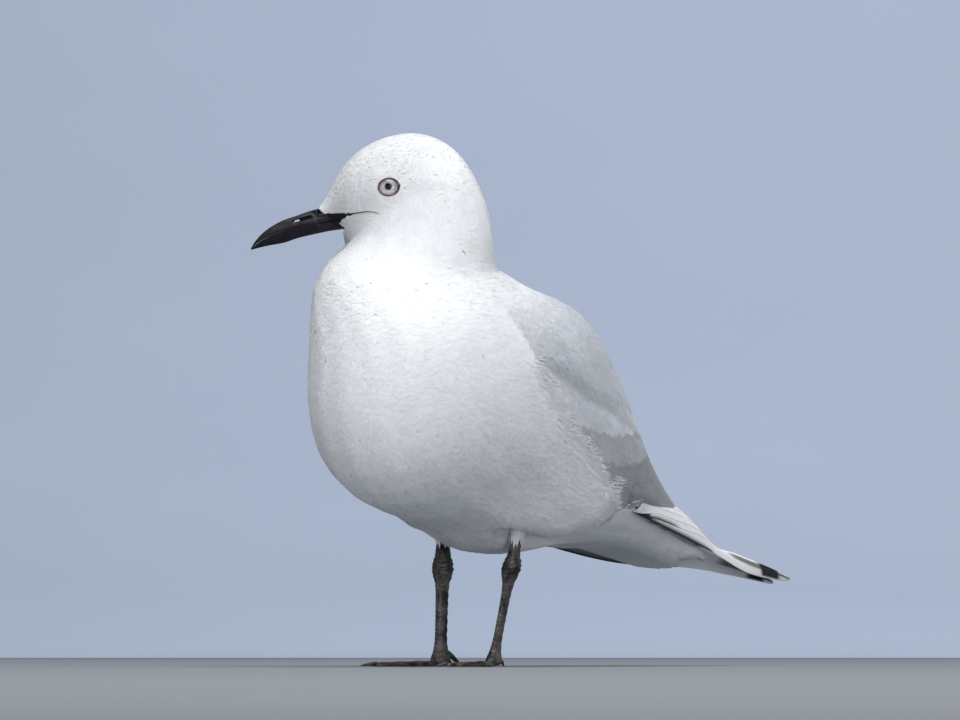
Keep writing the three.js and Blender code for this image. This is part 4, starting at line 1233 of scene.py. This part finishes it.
def eyeball(side):
    """A ball whose front has a sunken iris, rising to the ball's own curve at its rim, with a
    deeper pupil. Rows go out from the axis, and columns go round it."""
    reach = np.r_[np.linspace(0.02, IRIS / EYE_RADIUS, 40), np.linspace(0.68, 0.999, 24)]
    reach, angle = np.meshgrid(reach * EYE_RADIUS, turns(120), indexing="ij")
    iris = IRIS_PLANE - 0.35 * MM + 0.25 * MM * (reach / IRIS) ** 2
    iris = iris + 0.04 * MM * np.sin(31 * angle + 4 * np.sin(5 * angle)) * ramp(PUPIL, IRIS, reach)
    iris = iris - 0.8 * MM * ramp(PUPIL * 1.02, PUPIL * 0.9, reach)
    depth = np.where(reach <= IRIS, iris, np.sqrt(EYE_RADIUS**2 - reach**2))
    place = eye_place(side, depth, reach * np.cos(angle), reach * np.sin(angle))
    fibres = 0.5 + 0.28 * np.sin(47 * angle + 3 * np.sin(9 * angle))
    fibres = fibres + 0.22 * np.sin(83 * angle + 2.0)
    rims = 1 - ramp(PUPIL, PUPIL * 1.35, reach) + ramp(IRIS * 0.86, IRIS, reach)
    colour = IRIS_PALE * (0.80 + 0.35 * fibres)[..., None]
    colour = colour * (1 - 0.35 * np.clip(rims, 0, 1)[..., None])
    colour = np.where((reach < PUPIL * 1.03)[..., None], 0.004, colour)
    colour = np.where((reach > IRIS)[..., None], IRIS_RIM, colour)
    if side == "left":
        place, colour = place[::-1], colour[::-1]
    points, faces = tube(place)
    tint = np.vstack([colour.reshape(-1, 3), [[0.01] * 3] * 2])
    piece(f"eyeball_{side}", EYEBALL, points, faces, tint, stands_for=[f"eye_{side}"])


def cornea(side):
    """A clear dome over the iris, as a thin shell with its two faces joined at the rim."""
    reach, angle = np.meshgrid(np.linspace(0.01, 1.0, 26) * IRIS, turns(72), indexing="ij")
    ahead, up = reach * np.cos(angle), reach * np.sin(angle)
    depth = IRIS_PLANE - math.sqrt(DOME**2 - IRIS**2) + np.sqrt(DOME**2 - reach**2)
    outer, inner = eye_place(side, depth, ahead, up), eye_place(side, depth - 0.12 * MM, ahead, up)
    place = np.concatenate([outer, inner[::-1]])
    points, faces = tube(place[::-1] if side == "left" else place)
    piece(f"cornea_{side}", CORNEA, points, faces)


def eyelids(side):
    """A beaded ring of bare skin on an oval round the eye, drawn out a little at its corners,
    with a skirt that runs out under the feathers of the face."""
    columns = 168
    angle = turns(columns)
    profile = through([
        [-0.62, -0.95], [-0.46, -0.20], [-0.34, 0.12], [-0.17, 0.34], [0.04, 0.42], [0.24, 0.32],
        [0.42, 0.05], [0.70, -0.14], [1.2, -0.45], [1.9, -1.1],
    ], np.linspace(0, 1, 26)) * MM
    out, lift = profile[:, :1], profile[:, 1:]
    bead = 1 + 0.20 * np.abs(np.sin(15 * angle)) * bell(out, 0.05 * MM, 0.45 * MM)
    off_corners = [(angle - at + np.pi) % (2 * np.pi) - np.pi for at in CORNERS]
    corner = 0.28 * MM * sum(bell(off, 0, 0.20) for off in off_corners)
    across = (RING_AHEAD + out + corner) * np.cos(angle) + RING_MIDDLE[0]
    above = (RING_UP + out) * np.sin(angle) + RING_MIDDLE[1]
    far = np.minimum(np.hypot(across, above), EYE_RADIUS * 0.97)
    lift = lift * np.where(lift > 0, bead, 1)
    on_ball = np.sqrt(EYE_RADIUS**2 - far**2) + lift
    on_face = face_height(side, across, above) - 0.24 * MM + np.maximum(lift, 0) - EYE_OUT
    skirt = ramp(-0.50 * MM, 0.10 * MM, out)
    place = eye_place(side, on_ball * (1 - skirt) + on_face * skirt, across, above)
    bare = np.exp(-((out + 0.05 * MM) / (0.42 * MM)) ** 4) + 0 * angle
    tint = WHITE * 0.9 + (LID_RED - WHITE * 0.9) * bare[..., None]
    faces = grid_faces(len(profile), columns, True)
    faces = faces if side == "left" else faces[:, ::-1]
    piece(f"eyelids_{side}", LIDS, place, faces, tint)


def cornea_material():
    """Clear and wet, and nearly without a bend of the light."""
    made = Material(
        "clear cornea", Roughness=0.01, IOR=1.12, Transmission_Weight=1.0,
        Coat_Weight=0.42, Coat_IOR=1.5, Coat_Roughness=0.02,
    )
    made.bump(made.noise(made.where(), 300.0), 0.004 * MM)
    return made.made


EYEBALL = tinted_material("eyeball with its iris", 2500.0, 0.03 * MM, Roughness=0.35)
CORNEA = cornea_material()
LIDS = tinted_material("dark red lids", 3000.0, 0.06 * MM, Roughness=0.42)

# ------------------------------------------------------------------ legs and feet

SHIN_TOP, ANKLE = (19.8, 12.9, 60), (18.0, 9.9, 42.5)
LEGS = {"left": ((10.3, 6.6), 6), "right": ((17.0, 6.6), 24)}   # foot's middle, turn outwards
LEG_SIZES = [  # height, width across, depth fore and aft
    [64, 4.6, 6.6], [58, 4.4, 6.6], [52, 4.0, 6.4], [48, 4.8, 7.2], [45, 7.0, 8.8],
    [42, 7.8, 9.4], [39, 6.4, 8.4], [35.5, 4.4, 6.4], [30, 3.2, 5.8], [20, 2.8, 5.6],
    [12, 3.0, 5.6], [7, 4.0, 6.8], [3.6, 5.6, 9.2], [1.6, 6.0, 10.4], [0.5, 4.0, 8.0],
]
# Length of each toe, its spread from the foot's direction in degrees, width and height.
TOES = {"inner": (24, 29, 3.2, 2.4), "middle": (33, 0, 3.4, 2.7), "outer": (30, -25, 3.2, 2.5)}
HIND_START = [-1.6, 1.5]
HIND = [[0, 0, 6.4], [-0.2, 3.4, 5.0], [-0.3, 6.8, 2.9], [-0.3, 9.4, 1.3]]
OVER_TOE, UNDER_TOE = 25, 9      # points over a toe, and along its flat sole


def foot_place(side, out, back, height):
    """Places by distance out to the bird's side, back, and height, in mm."""
    out, back, height = np.broadcast_arrays(out, back, height)
    return bird_place(np.stack([SIDES[side] * out, back, height], -1))


def leg_middle(side, height):
    """The leg's middle line, out and back, at a height."""
    foot = LEGS[side][0]
    upper = (height - ANKLE[2]) / (SHIN_TOP[2] - ANKLE[2])
    lower = height / ANKLE[2]
    shin = [ANKLE[k] + (SHIN_TOP[k] - ANKLE[k]) * upper for k in (0, 1)]
    tarsus = [foot[k] + (ANKLE[k] - foot[k]) * lower for k in (0, 1)]
    return [np.where(height > ANKLE[2], shin[k], tarsus[k]) for k in (0, 1)]


def leg(side):
    """A closed tube down the leg. Broad scutes step down its front, small scales cover its
    sides, and folds cross the ankle."""
    height, across, deep = through(LEG_SIZES, np.linspace(0, 1, 300)).T[..., None]
    out, back = leg_middle(side, height)
    angle = turns(56)[None]
    front = np.clip(-np.sin(angle), 0, 1) ** 1.5
    rear = np.clip(np.sin(angle), 0, 1)
    step = (height / 1.9) % 1
    scute = 0.46 * ramp(0.0, 0.22, step) * (1 - 0.55 * step) * front * band(height, 2, 6, 50, 58)
    small = 0.08 * np.sin(height * 5.2 + 3 * np.sin(angle * 3))
    small = small * np.sin(angle * 14 + (height * 0.83).round() * np.pi) * (1 - front)
    fold = 0.20 * np.sin(height * 2.9 + 1.2 * np.cos(angle)) * bell(height, 43.5, 4.0) * (1 - front)
    scales = scute + small + fold + 0.12 * rear * np.sin(height * 1.7)
    aside = (across / 2 + scales) * np.cos(angle)
    along = (deep / 2 + scales) * np.sin(angle)
    turn = math.radians(LEGS[side][1])
    cos, sin = math.cos(turn), math.sin(turn)
    out, back = out + aside * cos - along * sin, back + aside * sin + along * cos
    place = foot_place(side, out, back, height)
    points, faces = tube(place if side == "left" else place[::-1])
    shown = [f"shank_{side}", f"tarsus_{side}"]
    piece(f"leg_{side}", LEG, points, faces, stands_for=shown)


def toe_way(side, toe):
    """Where a toe starts, and its direction out and back on the floor."""
    foot, turn = LEGS[side]
    angle = math.radians(turn - TOES[toe][1])
    return np.array(foot), np.array([math.sin(angle), -math.cos(angle)])


def beside(start, way, along, aside):
    """Places out and back, from their distances along a line on the floor and beside it."""
    line = start + way * along
    return line[:, 0, None] - way[1] * aside, line[:, 1, None] + way[0] * aside


def tip_round(s, start):
    """1 up to start, and then the height of a quarter circle down to the toe's end."""
    return np.sqrt(np.clip(1 - ((s - start) / (1 - start)).clip(0, 1) ** 2, 0.02, 1))


def toes(side):
    """Each toe is flat below and round above, swells at its joints and has cross scutes; its
    claw is a curved cone. The web is a thin sheet that hangs between the toes."""
    s = np.linspace(0, 1, 110)[:, None]
    angle, bottom = np.linspace(0, np.pi, OVER_TOE), np.linspace(-1, 1, UNDER_TOE + 2)[1:-1]
    round_up, flat = np.r_[np.sin(angle), 0 * bottom], np.r_[0 * angle, 1 - bottom**2]
    across = np.r_[np.cos(angle), bottom * 0.98]
    up = np.r_[0.22 + 0.78 * np.sin(angle), 0.10 + 0 * bottom]
    joint = sum(bell(s, at, 0.07) for at in (0.34, 0.62, 0.86))
    size = (1 - 0.32 * s) * (1 + 0.11 * joint) * tip_round(s, 0.93)
    pads = 0.10 * (1 - joint.clip(0, 1)) * flat
    rings, claws = [], []
    for toe, (length, _, width, high) in TOES.items():
        start, way = toe_way(side, toe)
        step = (s * length / 1.15) % 1
        scute = 0.20 * ramp(0, 0.25, step) * (1 - 0.5 * step)
        lift = high * size * (0.92 * up) + scute * round_up**2 * size + pads + 0.02
        out, back = beside(start, way, s * length, across * width / 2 * size)
        rings.append(foot_place(side, out, back, lift))
        claws.append(claw(side, start + way * (length - 0.9), way))
    start = np.array(LEGS[side][0]) + HIND_START
    hind = through(HIND, s[:, 0])
    thick = 1.25 * (1 - 0.45 * s) * tip_round(s, 0.9) + 0.08 * np.abs(np.sin(s * 18))
    angle = turns(OVER_TOE + UNDER_TOE)
    out = start[0] + hind[:, 0, None] + thick * np.cos(angle)
    back = start[1] + hind[:, 1, None] + thick * 0.6 * np.sin(angle)
    rings.append(foot_place(side, out, back, hind[:, 2, None] + thick * 0.8 * np.sin(angle)))
    claws.append(claw(side, start + [-0.3, 9.0], np.array([-0.05, 0.6]), 2.4, 1.6))
    points, faces = tubes(np.array(rings), side == "right")
    piece(f"toes_{side}", LEG, points, faces, stands_for=[f"foot_{side}"])
    points, faces = tubes(np.array(claws), side == "right")
    shown = [f"claw_{toe}_{side}" for toe in TOES]
    piece(f"claws_{side}", CLAW, points, faces, stands_for=shown)
    webs(side)


def claw(side, start, way, length=6.0, high=1.9):
    """Rings of a cone that narrows to a point and curves down to the floor."""
    s, angle = np.linspace(0, 1, 28)[:, None], turns(18)[None]
    size = (1 - s) ** 0.75 * 0.97 + 0.03
    out, back = beside(start, way, s * length, np.cos(angle) * 0.85 * size)
    lift = high * (0.62 - 0.50 * s**1.6) + 0.10 + np.sin(angle) * high / 2 * size
    return foot_place(side, out, back, np.maximum(lift, 0.03))


def webs(side):
    """Closed sheets between neighbouring toes, hollow along their front edges and wrinkled."""
    s, m = np.linspace(0.04, 1, 70)[:, None], np.linspace(0, 1, 41)[None]
    edge = 1 - 0.20 * 4 * m * (1 - m)
    wrinkle = 0.16 * np.sin(m * 26 + 2.5 * s) * np.sin(m * np.pi) * s
    wrinkle = wrinkle + 0.08 * np.sin(s * 60 + 4 * m)
    rim = 0.28 * ramp(0.965, 1.0, s)
    top = 0.95 + 0.25 * np.abs(2 * m - 1) ** 2
    top = top + (wrinkle + rim) * np.sin(np.pi * m.clip(0.02, 0.98))
    over = 0.35 + (top - 0.35) * (0.4 + 0.6 * ramp(1.02, 0.985, s))
    rings = []
    for pair in (("inner", "middle"), ("middle", "outer")):
        (start, way_a), (_, way_b) = (toe_way(side, toe) for toe in pair)
        along_a, along_b = (s * (TOES[toe][0] - 2.6) * edge for toe in pair)
        flat = start + (along_a * (1 - m))[..., None] * way_a + (along_b * m)[..., None] * way_b
        out, back = flat[..., 0], flat[..., 1]
        upper, under = (foot_place(side, out, back, height) for height in (over, 0.20))
        rings.append(np.concatenate([upper, under[:, ::-1]], axis=1))
    points, faces = tubes(np.array(rings), side == "left")
    piece(f"webs_{side}", WEB, points, faces)


def scaled_material(name, low, high, cells, roughness):
    """Small scales with stains, from a dark colour to a paler one."""
    made = Material(name, Roughness=roughness)
    where = made.where()
    scales = made.add("TexVoronoi", where, None, cells, feature="F1")
    stain = made.noise(where, 180.0, 5.0)
    mix = made.plus(made.times(scales, 0.35), made.spread(stain, 0.3, 0.8, 0.0, 0.75))
    made.set(Base_Color=made.shades(mix, low, high, (0.30, 0.85)))
    made.bump(made.math("SUBTRACT", stain, scales), 0.10 * MM)
    return made.made


LEG = scaled_material(
    "scaled skin of the legs", (0.007, 0.006, 0.0065), (0.150, 0.132, 0.125), 900.0, 0.42
)
WEB = scaled_material("webs", (0.010, 0.009, 0.010), (0.040, 0.035, 0.034), 1300.0, 0.62)
CLAW = scaled_material("horn of the claws", (0.010,) * 3, (0.10, 0.09, 0.085), 200.0, 0.30)


def thigh_feathers():
    """Pointed white feathers in rings round the top of each shin, which come out of the
    hollow between flank and belly and close on the bare skin in a ragged edge."""
    count, rings = 26, 5
    k = np.arange(count * rings)
    ring = k // count
    s = np.array([0.0, 0.3, 0.55, 0.8, 1.0])[None, :, None]
    x = np.array([-1.0, 0.0, 1.0]) * np.array([0.7, 1.0, 0.95, 0.5, 0.06])[None, :, None]
    for side in SIDES:
        angle = (k + 0.5 * ring + 0.3 * normal(len(k))) / count * 2 * np.pi
        length = 5.4 + 1.7 * chance(len(k)) + 4.6 * ((k % 3 == 0) & (ring > 2))
        top = (67.5 - 1.6 * ring)[:, None, None]
        height = top - s * length[:, None, None] * 0.93 - 0.4 * np.abs(x)
        out, back = leg_middle(side, height)
        high = ((height - 52) / 11).clip(0, 1)
        flare = 1.3 + 1.1 * high**1.5 + 0.08 * ring[:, None, None]
        turn = angle[:, None, None] + x * 1.3 / (flare + 2.2)
        out = out + 3.6 * high**2 + (flare + 1.0) * np.cos(turn)
        back = back - 5.0 * high**2 + (flare + 2.1) * np.sin(turn)
        place = foot_place(side, out, back, height)
        if side == "left":
            place = place[:, :, ::-1]
        tint = WHITE * (1 + 0.02 * normal(len(k)))[:, None]
        u = 0.60 + 0.02 * np.cos(angle)
        v = (0.5 - SIDES[side] * (0.06 + 0.01 * np.sin(angle))) % 1
        coat(f"coat_thigh_{side}", FINE, place, tint, u, v, 0.0)


# ------------------------------------------------------------------ all pieces

skin()
body_feathers()
wisps()
wing_feathers()
for name in SIDES:
    for build in (primaries, eyeball, cornea, eyelids, leg, toes):
        build(name)
tail_feathers()
bill()
gape()
thigh_feathers()

# ------------------------------------------------------------------ stage, light and camera

AZIMUTH, DISTANCE = math.radians(35.0), 5.0
CAMERA_HEIGHT, AIM_HEIGHT, AIM_RIGHT = 0.020, 0.1319, 0.0069
LENS, SENSOR = 436.0, 36.0
BACK = np.array([math.sin(AZIMUTH), -math.cos(AZIMUTH), 0.0])    # towards the camera
RIGHT = np.array([math.cos(AZIMUTH), math.sin(AZIMUTH), 0.0])

# The floor's section away from the camera, and half its width, in metres.
FLOOR = [[-12.0, 0.0], [0.6, 0.0], [7.2, 0.0], [8.8, 0.3], [9.8, 1.1], [10.3, 2.4], [10.5, 9.0]]
FLOOR_HALF = 12
BIRD, WALL = (0.0, 0.0, 0.13), (-9.8, 0.5, 0.9)
# Lamps: place towards the camera, to the right and up, size, power, colour and aim.
LAMPS = {
    "key": ((1.6, 0.1, 3.0), 3.2, 97.0, (1.0, 0.995, 0.985), BIRD),
    "fill": ((2.9, 1.6, 1.0), 2.0, 34.0, (1.0, 0.995, 0.985), BIRD),
    "side": ((1.8, -2.4, 0.6), 1.6, 12.5, (1.0, 1.0, 1.0), BIRD),
    "catch": ((2.35, -2.5, 0.22), 0.34, 8.0, (1.0, 1.0, 1.0), BIRD),
    "top": ((0.1, 0.3, 3.0), 3.6, 87.0, (0.97, 0.985, 1.0), BIRD),
    "backdrop": ((-6.4, 0.5, 4.2), 2.5, 590.0, (0.785, 0.855, 1.0), WALL),
}
AIR, AIR_LIGHT = (0.62, 0.72, 0.88, 1), 0.08


def on_stage(place):
    """A point from its distances towards the camera, to the right and up."""
    back, right, up = place
    return back * BACK + right * RIGHT + up * UP


def look(made, place, aim):
    """Puts a light or the camera at a place, with its view along the line to the aim."""
    back = unit(place - aim)
    right = unit(np.cross([0, 0, 1], back))
    up = np.cross(back, right)
    columns = [(*right, 0), (*up, 0), (*back, 0), (*place, 1)]
    made.matrix_world = Matrix(columns).transposed()


def studio_floor():
    """A pale floor that bends up into a backdrop."""
    made = Material("pale studio floor", Roughness=0.9)
    grain = made.noise(made.where(), 3.0)
    made.set(Base_Color=made.shades(grain, (0.165, 0.18, 0.20), (0.18, 0.195, 0.215)))
    run = through(FLOOR, np.linspace(0, 1, 60))[:, None]
    wide = np.linspace(-FLOOR_HALF, FLOOR_HALF, 9)
    points = -BACK * run[..., 0:1] + RIGHT * wide[None, :, None] + UP * run[..., 1:2]
    faces = grid_faces(len(run), len(wide))[:, ::-1]
    mesh = bpy.data.meshes.new("floor")
    mesh.from_pydata(points.reshape(-1, 3).tolist(), [], faces.tolist())
    mesh.polygons.foreach_set("use_smooth", np.ones(len(mesh.polygons), bool))
    mesh.materials.append(made.made)
    floor = put("floor", mesh)


def lamps():
    """Soft lamps round the bird, one for the backdrop, and a faint light from all round."""
    for name, (place, size, power, colour, aim) in LAMPS.items():
        lamp = bpy.data.lights.new(name, "AREA")
        lamp.size, lamp.energy, lamp.color = size, power, colour
        look(put(name, lamp), on_stage(place), on_stage(aim))
    world = bpy.data.worlds.new("studio air")
    world.use_nodes = True
    background = world.node_tree.nodes["Background"].inputs
    background["Color"].default_value, background["Strength"].default_value = AIR, AIR_LIGHT
    bpy.context.scene.world = world


def view():
    """The camera, low and in front of the bird's left side."""
    camera = bpy.data.cameras.new("camera")
    camera.lens, camera.sensor_width = LENS, SENSOR
    camera.clip_start, camera.clip_end = 0.1, 100.0
    made = put("camera", camera)
    aim = bird_place([0, 0, 0]) + AIM_RIGHT * RIGHT
    look(made, aim + DISTANCE * BACK + CAMERA_HEIGHT * UP, aim + AIM_HEIGHT * UP)
    bpy.context.scene.camera = made
    bpy.context.scene.view_settings.view_transform = "Standard"


studio_floor()
lamps()
view()
